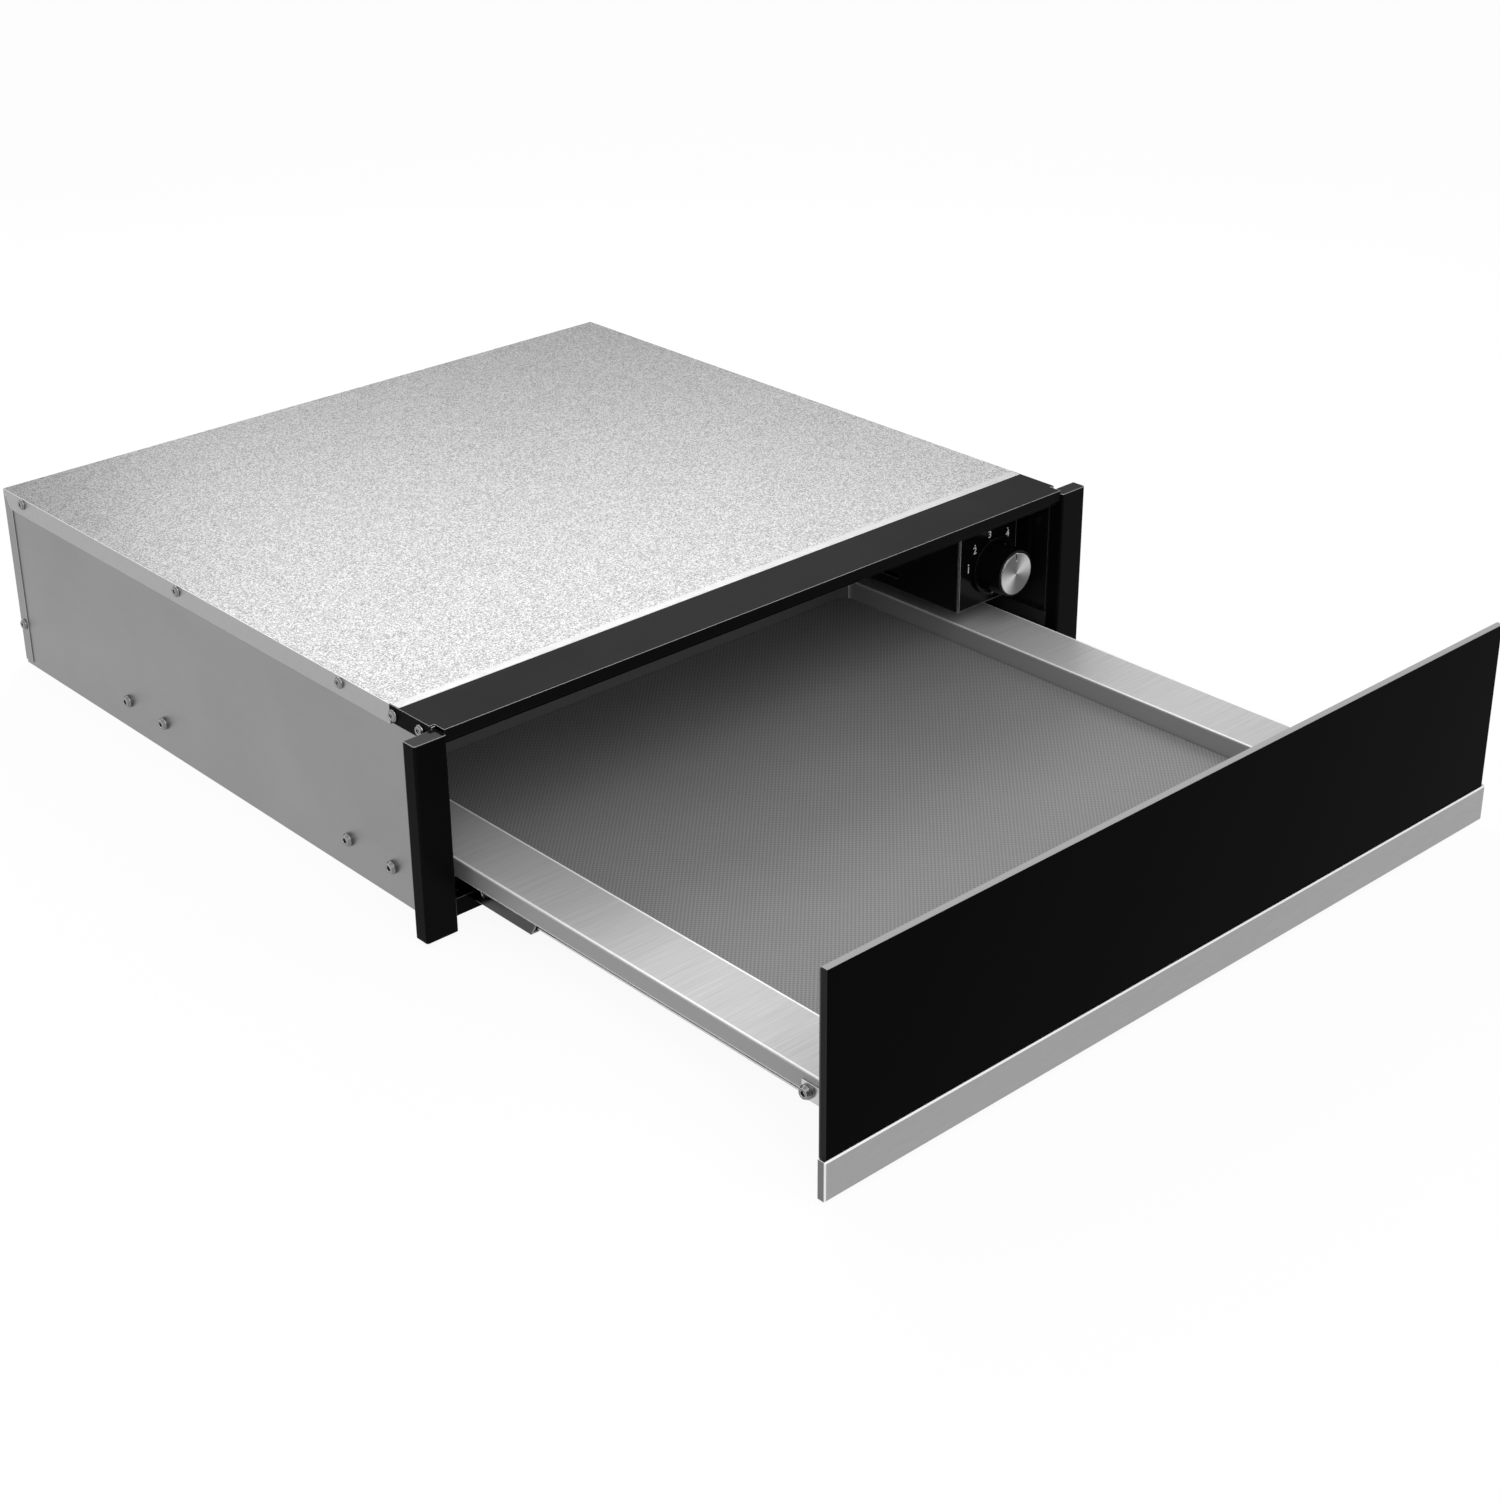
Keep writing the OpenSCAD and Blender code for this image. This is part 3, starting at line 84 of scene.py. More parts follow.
lens = bpy.data.cameras.new("camera")
lens.sensor_width = FILM_WIDTH
lens.lens = FILM_WIDTH * LENS_PIXELS / PRINT_SIDE
lens.shift_x = 0.5 - AXIS_PIXEL[0] / PRINT_SIDE
lens.shift_y = AXIS_PIXEL[1] / PRINT_SIDE - 0.5
lens.clip_end = 30
camera = bpy.data.objects.new("camera", lens)
bpy.context.scene.collection.objects.link(camera)
camera.location = CAMERA_PLACE
camera.rotation_mode = "QUATERNION"
facing = (CAMERA_AIM - CAMERA_PLACE).to_track_quat("-Z", "Y")
camera.rotation_quaternion = facing @ Quaternion((0, 0, 1), CAMERA_ROLL)
bpy.context.scene.camera = camera
print("lens:", round(lens.lens, 1), "mm")

# %% [markdown]
# ## Helpers for materials
#
# Each finish is a small tree of nodes round one Principled shader. Three helpers keep the trees
# short: one makes the shader with its constant values, one drops a shared group into a tree,
# and one turns a mask from 0 to 1 into a range of numbers or a blend of two colours.

# %% Make a finish, place a group, spread a mask
def new_finish(name, color, metallic, roughness, **constants):
    finish = bpy.data.materials.new(name)
    finish.use_nodes = True
    shader = finish.node_tree.nodes["Principled BSDF"]
    shader.inputs["Base Color"].default_value = (*color, 1)
    shader.inputs["Metallic"].default_value = metallic
    shader.inputs["Roughness"].default_value = roughness
    for socket, value in constants.items():
        shader.inputs[socket.replace("_", " ")].default_value = value
    return finish, finish.node_tree, shader


def place_group(tree, group, **values):
    node = tree.nodes.new("ShaderNodeGroup")
    node.node_tree = group
    for socket, value in values.items():
        node.inputs[socket.replace("_", " ")].default_value = value
    return node


def spread_values(tree, mask, low, high):
    node = tree.nodes.new("ShaderNodeMapRange")
    tree.links.new(mask, node.inputs["Value"])
    node.inputs["To Min"].default_value = low
    node.inputs["To Max"].default_value = high
    return node.outputs["Result"]


def blend_colors(tree, mask, low, high):
    node = tree.nodes.new("ShaderNodeMix")
    node.data_type = "RGBA"
    tree.links.new(mask, node.inputs[0])
    for socket, color in ((node.inputs[6], low), (node.inputs[7], high)):
        if isinstance(color, bpy.types.NodeSocket):
            tree.links.new(color, socket)
        else:
            socket.default_value = (*color, 1)
    return node.outputs[2]


def grey(value):
    return (value, value, value)


# %% [markdown]
# ## Shared effects
#
# A sheet-metal product repeats a few effects: edges that are never quite sharp, streaks from
# brushing, the mottled bloom of zinc, and faint clouds where hands and rollers touched it. Each
# is a node group with named sockets, built once. Only colours, masks and normals leave a group;
# the shader itself stays in the material.

# %% Start a node group
def new_group(name, inputs, outputs):
    group = bpy.data.node_groups.new(name, "ShaderNodeTree")
    for socket, kind, value in inputs:
        made = group.interface.new_socket(name=socket, in_out="INPUT", socket_type=kind)
        made.default_value = value
    for socket, kind in outputs:
        group.interface.new_socket(name=socket, in_out="OUTPUT", socket_type=kind)
    return group, group.nodes.new("NodeGroupInput"), group.nodes.new("NodeGroupOutput")


def math_node(tree, operation, first, second=None):
    node = tree.nodes.new("ShaderNodeMath")
    node.operation = operation
    for socket, value in zip(node.inputs, (first, second)):
        if isinstance(value, bpy.types.NodeSocket):
            tree.links.new(value, socket)
        elif value is not None:
            socket.default_value = value
    return node.outputs[0]


def vector_node(tree, operation, first, second):
    node = tree.nodes.new("ShaderNodeVectorMath")
    node.operation = operation
    for socket, value in zip(node.inputs, (first, second)):
        if isinstance(value, bpy.types.NodeSocket):
            tree.links.new(value, socket)
        else:
            socket.default_value = value
    return node


def split_vector(tree, vector):
    parts = tree.nodes.new("ShaderNodeSeparateXYZ")
    tree.links.new(vector, parts.inputs[0])
    return parts.outputs


def read_parts(tree, source):
    place = tree.nodes.new("ShaderNodeTexCoord")
    return split_vector(tree, place.outputs[source])


def noise_node(tree, vector, scale, detail, roughness=0.5):
    node = tree.nodes.new("ShaderNodeTexNoise")
    tree.links.new(vector, node.inputs["Vector"])
    for socket, value in (("Scale", scale), ("Detail", detail), ("Roughness", roughness)):
        if isinstance(value, bpy.types.NodeSocket):
            tree.links.new(value, node.inputs[socket])
        else:
            node.inputs[socket].default_value = value
    return node.outputs["Fac"]


# %% [markdown]
# Some finishes change with the way that a face looks. A face counts as facing along an axis
# when more than half of its normal points that way.

# %% How far a face must look along an axis
FACING = 0.5


# %% Soft edges: a rounded normal and a mask along each edge
BEVEL_SAMPLES = 8
EDGE_GAIN = 9.0
UPPER_GAIN = 1.6


def make_soft_edges():
    group, enter, leave = new_group(
        "soft edges",
        [("Radius", "NodeSocketFloat", 0.5 * MM)],
        [
            ("Normal", "NodeSocketVector"),
            ("Edge", "NodeSocketFloat"),
            ("Upper", "NodeSocketFloat"),
        ],
    )
    bevel = group.nodes.new("ShaderNodeBevel")
    bevel.samples = BEVEL_SAMPLES
    group.links.new(enter.outputs["Radius"], bevel.inputs["Radius"])
    geometry = group.nodes.new("ShaderNodeNewGeometry")
    agree = vector_node(group, "DOT_PRODUCT", bevel.outputs[0], geometry.outputs["Normal"])
    bend = math_node(group, "SUBTRACT", 1.0, agree.outputs["Value"])
    edge = math_node(group, "MULTIPLY", bend, EDGE_GAIN)
    edge = math_node(group, "MINIMUM", edge, 1.0)
    # Upper keeps the edges whose rounding looks up, which carry the strongest painted highlight.
    rounded = split_vector(group, bevel.outputs[0])
    rise = math_node(group, "MULTIPLY", rounded["Z"], UPPER_GAIN)
    rise = math_node(group, "MINIMUM", math_node(group, "MAXIMUM", rise, 0.0), 1.0)
    group.links.new(bevel.outputs[0], leave.inputs["Normal"])
    group.links.new(edge, leave.inputs["Edge"])
    group.links.new(math_node(group, "MULTIPLY", edge, rise), leave.inputs["Upper"])
    return group


# %% Brushed streaks: noise drawn out along one axis
FINE_STREAK = 1.6
BROAD_STREAK = 0.22


def make_brushed_streaks():
    group, enter, leave = new_group(
        "brushed streaks",
        [("Stretch", "NodeSocketVector", (4, 700, 700)), ("Coarseness", "NodeSocketFloat", 0.4)],
        [("Streak", "NodeSocketFloat"), ("Fine", "NodeSocketFloat")],
    )
    place = group.nodes.new("ShaderNodeTexCoord")
    drawn = vector_node(group, "MULTIPLY", place.outputs["Object"], enter.outputs["Stretch"])
    fine = noise_node(group, drawn.outputs[0], FINE_STREAK, 2.0)
    broad = noise_node(group, drawn.outputs[0], BROAD_STREAK, 3.0)
    mixed = group.nodes.new("ShaderNodeMix")
    group.links.new(enter.outputs["Coarseness"], mixed.inputs[0])
    group.links.new(fine, mixed.inputs[2])
    group.links.new(broad, mixed.inputs[3])
    group.links.new(mixed.outputs[0], leave.inputs["Streak"])
    group.links.new(fine, leave.inputs["Fine"])
    return group


# %% Zinc bloom: dark grains a millimetre across over pale crystals
CRYSTALS_PER_METRE = 260.0


def make_zinc_bloom():
    group, enter, leave = new_group(
        "zinc bloom",
        [("Grain", "NodeSocketFloat", 520.0), ("Gain", "NodeSocketFloat", 3.0)],
        [("Grains", "NodeSocketFloat"), ("Crystals", "NodeSocketFloat")],
    )
    place = group.nodes.new("ShaderNodeTexCoord")
    rough = noise_node(group, place.outputs["Object"], enter.outputs["Grain"], 3.0, 0.75)
    centred = math_node(group, "SUBTRACT", rough, 0.5)
    gained = math_node(group, "MULTIPLY", centred, enter.outputs["Gain"])
    grains = math_node(group, "ADD", gained, 0.5)
    limit = group.nodes.new("ShaderNodeClamp")
    group.links.new(grains, limit.inputs["Value"])
    crystals = group.nodes.new("ShaderNodeTexVoronoi")
    crystals.inputs["Scale"].default_value = CRYSTALS_PER_METRE
    group.links.new(place.outputs["Object"], crystals.inputs["Vector"])
    pale = group.nodes.new("ShaderNodeSeparateColor")
    group.links.new(crystals.outputs["Color"], pale.inputs[0])
    group.links.new(limit.outputs[0], leave.inputs["Grains"])
    group.links.new(pale.outputs[0], leave.inputs["Crystals"])
    return group


# %% Clouds: slow, faint changes over a whole panel
def make_clouds():
    group, enter, leave = new_group(
        "clouds",
        [("Scale", "NodeSocketFloat", 9.0)],
        [("Cloud", "NodeSocketFloat")],
    )
    place = group.nodes.new("ShaderNodeTexCoord")
    cloud = noise_node(group, place.outputs["Object"], enter.outputs["Scale"], 4.0, 0.6)
    group.links.new(cloud, leave.inputs["Cloud"])
    return group


SOFT_EDGES = make_soft_edges()
BRUSHED_STREAKS = make_brushed_streaks()
ZINC_BLOOM = make_zinc_bloom()
CLOUDS = make_clouds()
print("groups:", [group.name for group in bpy.data.node_groups])

# %% [markdown]
# ## Bumps and edges in a material
#
# Real grain has depth, so the mask that colours a surface also raises it. The Bump node reads
# the mask as a height, and the rounded edge normal goes in first, so that one edge shows both.
# Edges are painted paler than the sheet, and upper edges most of all: a painted highlight, where
# rounded edges would catch the lamps. On a painted piece the highlit edges can be bare metal.

# %% Raise a mask on top of soft edges
def soften_edges(tree, shader, radius):
    edges = place_group(tree, SOFT_EDGES, Radius=radius)
    tree.links.new(edges.outputs["Normal"], shader.inputs["Normal"])
    return edges


def raise_mask(tree, shader, mask, depth, edges=None):
    bump = tree.nodes.new("ShaderNodeBump")
    bump.inputs["Strength"].default_value = 1.0
    bump.inputs["Distance"].default_value = depth
    tree.links.new(mask, bump.inputs["Height"])
    if edges is not None:
        tree.links.new(edges.outputs["Normal"], bump.inputs["Normal"])
    tree.links.new(bump.outputs["Normal"], shader.inputs["Normal"])


# Painted highlight: edges are painted paler than the surface, and edges that look up palest; with
# bare, that mask also makes them metal.
def polish_edges(tree, shader, edges, color, side_highlight, upper_edge, bare=None):
    if bare is not None:
        tree.links.new(edges.outputs[bare], shader.inputs["Metallic"])
    highlighted = blend_colors(tree, edges.outputs["Edge"], color, side_highlight)
    highlighted = blend_colors(tree, edges.outputs["Upper"], highlighted, upper_edge)
    tree.links.new(highlighted, shader.inputs["Base Color"])


# %% [markdown]
# ## Metal finishes
#
# The case is zinc-coated sheet. Its sides are smooth and satin, and its cover has the speckle
# of the hot dip, with a plain band along the front and plain folds at the sides. The tray and
# the strip are stainless steel, brushed from side to side, so their grain is noise stretched
# along X. The small parts, such as screws, slides and balls, share one finish that only differs
# in colour and roughness.

# %% Zinc-coated sheet, smooth and speckled
# Painted highlight: grey of the sheet's edges, and of its upper edges.
SHEET_EDGE_HIGHLIGHT, SHEET_UPPER_HIGHLIGHT = grey(0.5), grey(0.8)
COVER_GRAIN, COVER_GAIN = 940.0, 7.0
COVER_SMOOTH, COVER_ROUGH = 0.32, 0.38
FRONT_BAND = 7 * MM
FOLD_TONE = 0.38
BAND_TONE = 0.22


def plain_sheet(name, dark, pale, roughness, stretch):
    finish, tree, shader = new_finish(name, grey(pale), 1.0, roughness)
    edges = place_group(tree, SOFT_EDGES, Radius=0.6 * MM)
    cloud = place_group(tree, CLOUDS, Scale=7.0)
    grain = place_group(tree, BRUSHED_STREAKS, Stretch=stretch)
    color = blend_colors(tree, cloud.outputs["Cloud"], grey(dark), grey(pale))
    polish_edges(tree, shader, edges, color, SHEET_EDGE_HIGHLIGHT, SHEET_UPPER_HIGHLIGHT)
    sheen = spread_values(tree, grain.outputs["Streak"], roughness - 0.06, roughness + 0.06)
    tree.links.new(sheen, shader.inputs["Roughness"])
    raise_mask(tree, shader, grain.outputs["Fine"], 0.01 * MM, edges)
    return finish


def speckled_sheet(name, dark, pale):
    finish, tree, shader = new_finish(name, grey(pale), 1.0, 0.4)
    edges = place_group(tree, SOFT_EDGES, Radius=0.8 * MM)
    bloom = place_group(tree, ZINC_BLOOM, Grain=COVER_GRAIN, Gain=COVER_GAIN)
    band_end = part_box("top_cover")[0].y + FRONT_BAND
    band = math_node(tree, "LESS_THAN", read_parts(tree, "Object")["Y"], band_end)
    fold = math_node(tree, "LESS_THAN", read_parts(tree, "Normal")["Z"], FACING)
    color = blend_colors(tree, bloom.outputs["Grains"], grey(dark), grey(pale))
    color = blend_colors(tree, band, color, grey(BAND_TONE))
    color = blend_colors(tree, fold, color, grey(FOLD_TONE))
    polish_edges(tree, shader, edges, color, SHEET_EDGE_HIGHLIGHT, SHEET_UPPER_HIGHLIGHT)
    sheen = spread_values(tree, bloom.outputs["Crystals"], COVER_SMOOTH, COVER_ROUGH)
    tree.links.new(sheen, shader.inputs["Roughness"])
    raise_mask(tree, shader, bloom.outputs["Grains"], 0.015 * MM, edges)
    return finish


# %% [markdown]
# Brushed steel looks different from each side, because the streaks mirror the room only across
# their own direction. So light is painted into the finish, as a tone for each way that a face
# looks: slanted chamfers carry a painted highlight, and faces that look sideways, such as the
# ends, painted shade. The tray has two more: a thin painted highlight along its bends, and
# painted shade on the inner rear wall inside the case.

# %% Brushed stainless steel, with painted light in a tone for each side
# Painted light in the steel's colour: greys for edge, chamfer and bend highlights, and for the
# shade on the rear wall, the ends and the skirt.
STEEL_EDGE_HIGHLIGHT, STEEL_UPPER_HIGHLIGHT = grey(0.9), grey(1.0)
CHAMFER_HIGHLIGHT = 0.8
REAR_WALL_SHADE = 0.12
END_SHADE = 0.17
LEAST_SLANT = 0.3
SQUARE_ON = 0.9
SKIRT_SHADE = 0.29
BEND_HIGHLIGHT = 1.0
BEND_WIDTH = 1.2 * MM
MAT_GAP = 1.0 * MM


def slanting(tree):
    ahead = math_node(tree, "ABSOLUTE", read_parts(tree, "Normal")["Y"])
    above = math_node(tree, "GREATER_THAN", ahead, LEAST_SLANT)
    below = math_node(tree, "LESS_THAN", ahead, SQUARE_ON)
    return math_node(tree, "MULTIPLY", above, below)


def facing_sideways(tree):
    aside = math_node(tree, "ABSOLUTE", read_parts(tree, "Normal")["X"])
    return math_node(tree, "GREATER_THAN", aside, SQUARE_ON)


def along_bends(tree):
    across = math_node(tree, "ABSOLUTE", read_parts(tree, "Object")["X"])
    outer = math_node(tree, "GREATER_THAN", across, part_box("tray")[1].x - BEND_WIDTH)
    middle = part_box("tray_mat")[1].x + MAT_GAP + BEND_WIDTH / 2
    offset = math_node(tree, "ABSOLUTE", math_node(tree, "SUBTRACT", across, middle))
    inner = math_node(tree, "LESS_THAN", offset, BEND_WIDTH / 2)
    level = math_node(tree, "GREATER_THAN", read_parts(tree, "Normal")["Z"], FACING)
    return math_node(tree, "MULTIPLY", level, math_node(tree, "MAXIMUM", outer, inner))


def facing_front(tree, behind):
    facing = math_node(tree, "LESS_THAN", read_parts(tree, "Normal")["Y"], -FACING)
    inside = math_node(tree, "GREATER_THAN", read_parts(tree, "Object")["Y"], behind)
    return math_node(tree, "MULTIPLY", facing, inside)


def brushed_steel(
    name, dark, pale, metallic, roughness, stretch, coarseness, depth, rounding, shade_behind=None
):
    finish, tree, shader = new_finish(name, grey(pale), metallic, roughness)
    edges = place_group(tree, SOFT_EDGES, Radius=rounding)
    streaks = place_group(tree, BRUSHED_STREAKS, Stretch=stretch, Coarseness=coarseness)
    color = blend_colors(tree, streaks.outputs["Streak"], grey(dark), grey(pale))
    # Painted highlight on slanted chamfers, painted shade on faces that look sideways.
    color = blend_colors(tree, slanting(tree), color, grey(CHAMFER_HIGHLIGHT))
    side_shade = END_SHADE if shade_behind is None else SKIRT_SHADE
    color = blend_colors(tree, facing_sideways(tree), color, grey(side_shade))
    if shade_behind is not None:
        # Painted shade: tray faces that look forward behind REAR_WALL, its inner rear wall inside
        # the case, are painted dark.
        color = blend_colors(tree, facing_front(tree, shade_behind), color, grey(REAR_WALL_SHADE))
        # Painted highlight: a thin pale line along the tray's outer bends and its well's rim.
        color = blend_colors(tree, along_bends(tree), color, grey(BEND_HIGHLIGHT))
    polish_edges(tree, shader, edges, color, STEEL_EDGE_HIGHLIGHT, STEEL_UPPER_HIGHLIGHT)
    sheen = spread_values(tree, streaks.outputs["Streak"], roughness + 0.1, roughness - 0.1)
    tree.links.new(sheen, shader.inputs["Roughness"])
    raise_mask(tree, shader, streaks.outputs["Streak"], depth, edges)
    return finish


# %% Bright zinc, balls, and other small metal parts
DULLED = 0.82


def bright_metal(name, color, roughness, spread, edge=0.9):
    finish, tree, shader = new_finish(name, color, 1.0, roughness)
    edges = soften_edges(tree, shader, 0.4 * MM)
    cloud = place_group(tree, CLOUDS, Scale=160.0)
    dull = tuple(DULLED * part for part in color)
    tone = blend_colors(tree, cloud.outputs["Cloud"], dull, color)
    # Painted highlight on the small parts: side edges halfway to the edge grey, upper edges at it.
    side_highlight = tuple(0.5 * (part + edge) for part in color)
    polish_edges(tree, shader, edges, tone, side_highlight, grey(edge))
    sheen = spread_values(tree, cloud.outputs["Cloud"], roughness - spread, roughness + spread)
    tree.links.new(sheen, shader.inputs["Roughness"])
    return finish


# %% Turned metal: a painted sheen in wedges round the dial's axis, and painted shade in the pointer slot
SHEEN_WEDGE_ANGLE = math.radians(25)
SHEEN_WEDGE_SHARPNESS = 4.0
SLOT_SKIN = 0.3 * MM
SLOT_SHADE = 0.02
CAP_EDGE_HIGHLIGHT, CAP_UPPER_HIGHLIGHT = grey(0.85), grey(0.95)


def turned_metal(name, dark, pale, roughness):
    finish, tree, shader = new_finish(name, grey(pale), 1.0, roughness)
    edges = soften_edges(tree, shader, 0.5 * MM)
    low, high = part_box("knob_cap")
    place = tree.nodes.new("ShaderNodeTexCoord")
    away = vector_node(tree, "SUBTRACT", place.outputs["Object"], (low + high) / 2)
    arm = split_vector(tree, away.outputs[0])
    turn = math_node(tree, "ARCTAN2", arm["Z"], arm["X"])
    wave = math_node(tree, "COSINE", math_node(tree, "SUBTRACT", turn, SHEEN_WEDGE_ANGLE))
    painted_sheen = math_node(tree, "POWER", math_node(tree, "ABSOLUTE", wave), SHEEN_WEDGE_SHARPNESS)
    depth = read_parts(tree, "Object")["Y"]
    sunk = math_node(tree, "GREATER_THAN", depth, low.y + SLOT_SKIN)
    # Painted reflection: the bow-tie sheen of the turned face, pale in two opposite wedges.
    color = blend_colors(tree, painted_sheen, grey(dark), grey(pale))
    # Painted shade: all of the cap that lies deeper than SLOT_SKIN behind its face, the pointer
    # slot among it, is painted near black.
    color = blend_colors(tree, sunk, color, grey(SLOT_SHADE))
    polish_edges(tree, shader, edges, color, CAP_EDGE_HIGHLIGHT, CAP_UPPER_HIGHLIGHT)
    return finish


# %% [markdown]
# ## Paint, plastic, rubber and glass
#
# Powder paint has a very fine orange peel, and its edges are painted paler, a painted highlight.
# The glass is black behind a polished face. Its sides are ground dark, and its ground top edge is
# painted pale, a painted highlight. The mat is a rubbery sheet with a fine diagonal rib that keeps
# plates from sliding, and the valleys between the ribs are painted darker, as painted shade.

# %% Powder paint and moulded plastic
SHEET_ROUNDING = 0.5 * MM
BARE_ROUNDING = 1.0 * MM


def coated(
    name, color, edge_highlight, roughness, peel_scale, peel_depth, level=0.5, upper=0.1, bare=None
):
    rounding = SHEET_ROUNDING if bare is None else BARE_ROUNDING
    finish, tree, shader = new_finish(name, color, 0.0, roughness, Specular_IOR_Level=level)
    edges = place_group(tree, SOFT_EDGES, Radius=rounding)
    peel = place_group(tree, CLOUDS, Scale=peel_scale)
    smudge = place_group(tree, CLOUDS, Scale=14.0)
    # Painted highlight: edges are painted paler, and upper edges paler still; bare makes those
    # edges metal too.
    polish_edges(tree, shader, edges, color, edge_highlight, grey(upper), bare)
    sheen = spread_values(tree, smudge.outputs["Cloud"], roughness - 0.05, roughness + 0.08)
    tree.links.new(sheen, shader.inputs["Roughness"])
    raise_mask(tree, shader, peel.outputs["Cloud"], peel_depth, edges)
    return finish


# %% Black glass with a ground edge
GLASS_TONE = 0.001
SIDE_TONE = 0.022
# Painted highlight: the ground top edge is painted far paler than the ground sides.
TOP_EDGE_HIGHLIGHT = 0.33
GLASS_LEVEL = 0.01
POLISHED, GROUND = 0.04, 0.5


def front_glass(name):
    finish, tree, shader = new_finish(
        name, grey(GLASS_TONE), 0.0, POLISHED, Specular_IOR_Level=GLASS_LEVEL
    )
    facing = read_parts(tree, "Normal")
    side = math_node(tree, "GREATER_THAN", math_node(tree, "ABSOLUTE", facing["X"]), FACING)
    top = math_node(tree, "GREATER_THAN", facing["Z"], FACING)
    color = blend_colors(tree, side, grey(GLASS_TONE), grey(SIDE_TONE))
    color = blend_colors(tree, top, color, grey(TOP_EDGE_HIGHLIGHT))
    tree.links.new(color, shader.inputs["Base Color"])
    edge = math_node(tree, "MAXIMUM", side, top)
    tree.links.new(spread_values(tree, edge, POLISHED, GROUND), shader.inputs["Roughness"])
    return finish


# %% Ribbed mat
MAT_DARK, MAT_PALE = 0.22, 0.27
RIB_VALLEY_SHADE = 0.12
RIB_TURNS = (45, -45)
RIB_SCALE = 135.0
RIB_DEPTH = 0.1 * MM


def ribbed_mat(name):
    finish, tree, shader = new_finish(name, grey(MAT_PALE), 0.0, 0.62, Specular_IOR_Level=0.35)
    place = tree.nodes.new("ShaderNodeTexCoord")
    weave = []
    for turn in RIB_TURNS:
        turned = tree.nodes.new("ShaderNodeMapping")
        turned.inputs["Rotation"].default_value = (0, 0, math.radians(turn))
        tree.links.new(place.outputs["Object"], turned.inputs["Vector"])
        wave = tree.nodes.new("ShaderNodeTexWave")
        wave.inputs["Scale"].default_value = RIB_SCALE
        tree.links.new(turned.outputs[0], wave.inputs["Vector"])
        weave.append(wave.outputs["Fac"])
    rib = math_node(tree, "MAXIMUM", weave[0], weave[1])
    cloud = place_group(tree, CLOUDS, Scale=11.0)
    base = blend_colors(tree, cloud.outputs["Cloud"], grey(MAT_DARK), grey(MAT_PALE))
    # Painted shade: the valleys between the ribs are painted darker.
    color = blend_colors(tree, rib, grey(RIB_VALLEY_SHADE), base)
    tree.links.new(color, shader.inputs["Base Color"])
    raise_mask(tree, shader, rib, RIB_DEPTH)
    return finish


# %% [markdown]
# ## Give each slot its finish
#
# The model names a material slot for each of its pieces. One table pairs the slots with
# finishes, and a loop hangs them on the pieces, so that every ball is dressed. Three kinds of
# piece leave the table: the fascia has bare metal edges painted pale, a painted highlight; the
# fixed and middle members of the slides are zinc painted dark, as painted shade inside the case;
# and the screws are a mid one.

# %% Pair slots with finishes
REAR_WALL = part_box("tray")[1].y - 50 * MM
FINISHES = {
    "case_steel": plain_sheet("case steel", 0.25, 0.33, 0.42, (700, 6, 700)),
    "cover_steel": speckled_sheet("cover steel", 0.075, 0.275),
    "inner_steel": plain_sheet("inner steel", 0.24, 0.30, 0.45, (700, 6, 700)),
    "stainless": brushed_steel(
        "tray steel", 0.30, 0.55, 0.10, 0.48, (14, 900, 900), 0.2, 0.03 * MM, 2.0 * MM, REAR_WALL
    ),
    "trim_stainless": brushed_steel(
        "trim steel", 0.32, 0.38, 1.0, 0.36, (60, 1600, 1600), 0.15, 0.006 * MM, 0.4 * MM
    ),
    "zinc": bright_metal("bright zinc", (0.62, 0.63, 0.64), 0.26, 0.08),
    "cage_steel": bright_metal("cage strip", (0.55, 0.55, 0.54), 0.34, 0.06),
    "ball_steel": bright_metal("ball steel", (0.85, 0.85, 0.86), 0.08, 0.02),
    "fan_steel": bright_metal("fan sheet", (0.58, 0.58, 0.58), 0.38, 0.08),
    "heater_steel": bright_metal("heater tube", (0.42, 0.38, 0.34), 0.42, 0.08),
    "knob_metal": turned_metal("turned aluminium", 0.11, 0.52, 0.26),
    "rail_paint": coated("rail paint", grey(0.005), grey(0.03), 0.40, 900, 0.01 * MM, 0.014, 0.7),
    "black_paint": coated(
        "black paint", grey(0.003), grey(0.04), 0.24, 900, 0.006 * MM, 0.02, 0.4, "Upper"
    ),
    "liner_paint": coated(
        "liner paint", grey(0.004), grey(0.04), 0.20, 700, 0.006 * MM, 0.25, 0.3
    ),
    "carrier_paint": coated("carrier paint", grey(0.03), grey(0.06), 0.45, 900, 0.01 * MM),
    "motor_paint": coated("motor paint", grey(0.12), grey(0.2), 0.45, 900, 0.01 * MM),
    "black_plastic": coated("black plastic", grey(0.012), grey(0.03), 0.5, 1200, 0.02 * MM),
    "gloss_black": coated(
        "gloss plastic", grey(0.003), grey(0.02), 0.12, 300, 0.002 * MM, 0.05, 0.03
    ),
    "terminal_white": coated(
        "terminal plastic", grey(0.72), grey(0.8), 0.5, 1200, 0.02 * MM, 0.5, 0.8
    ),
    "front_glass": front_glass("front glass"),
    "mat_silicone": ribbed_mat("mat rubber"),
}
# Painted highlight: the fascia's edges are bare metal painted pale, which draws bright lines along
# its chamfers.
FASCIA_PLATE = coated(
    "fascia plate", grey(0.003), grey(0.8), 0.12, 300, 0.002 * MM, 0.05, 0.8, "Edge"
)
# Painted shade: the same zinc, painted dark for the slide members that stand inside the case.
SHADE_PAINTED_ZINC = bright_metal("shade-painted zinc", grey(0.06), 0.22, 0.05, 0.95)
SCREW_STEEL = bright_metal("screw steel", grey(0.22), 0.25, 0.05, 0.98)
SLOT_OF = {part["node"]: part["material_slot"] for part in frame["record"]["subparts"]}


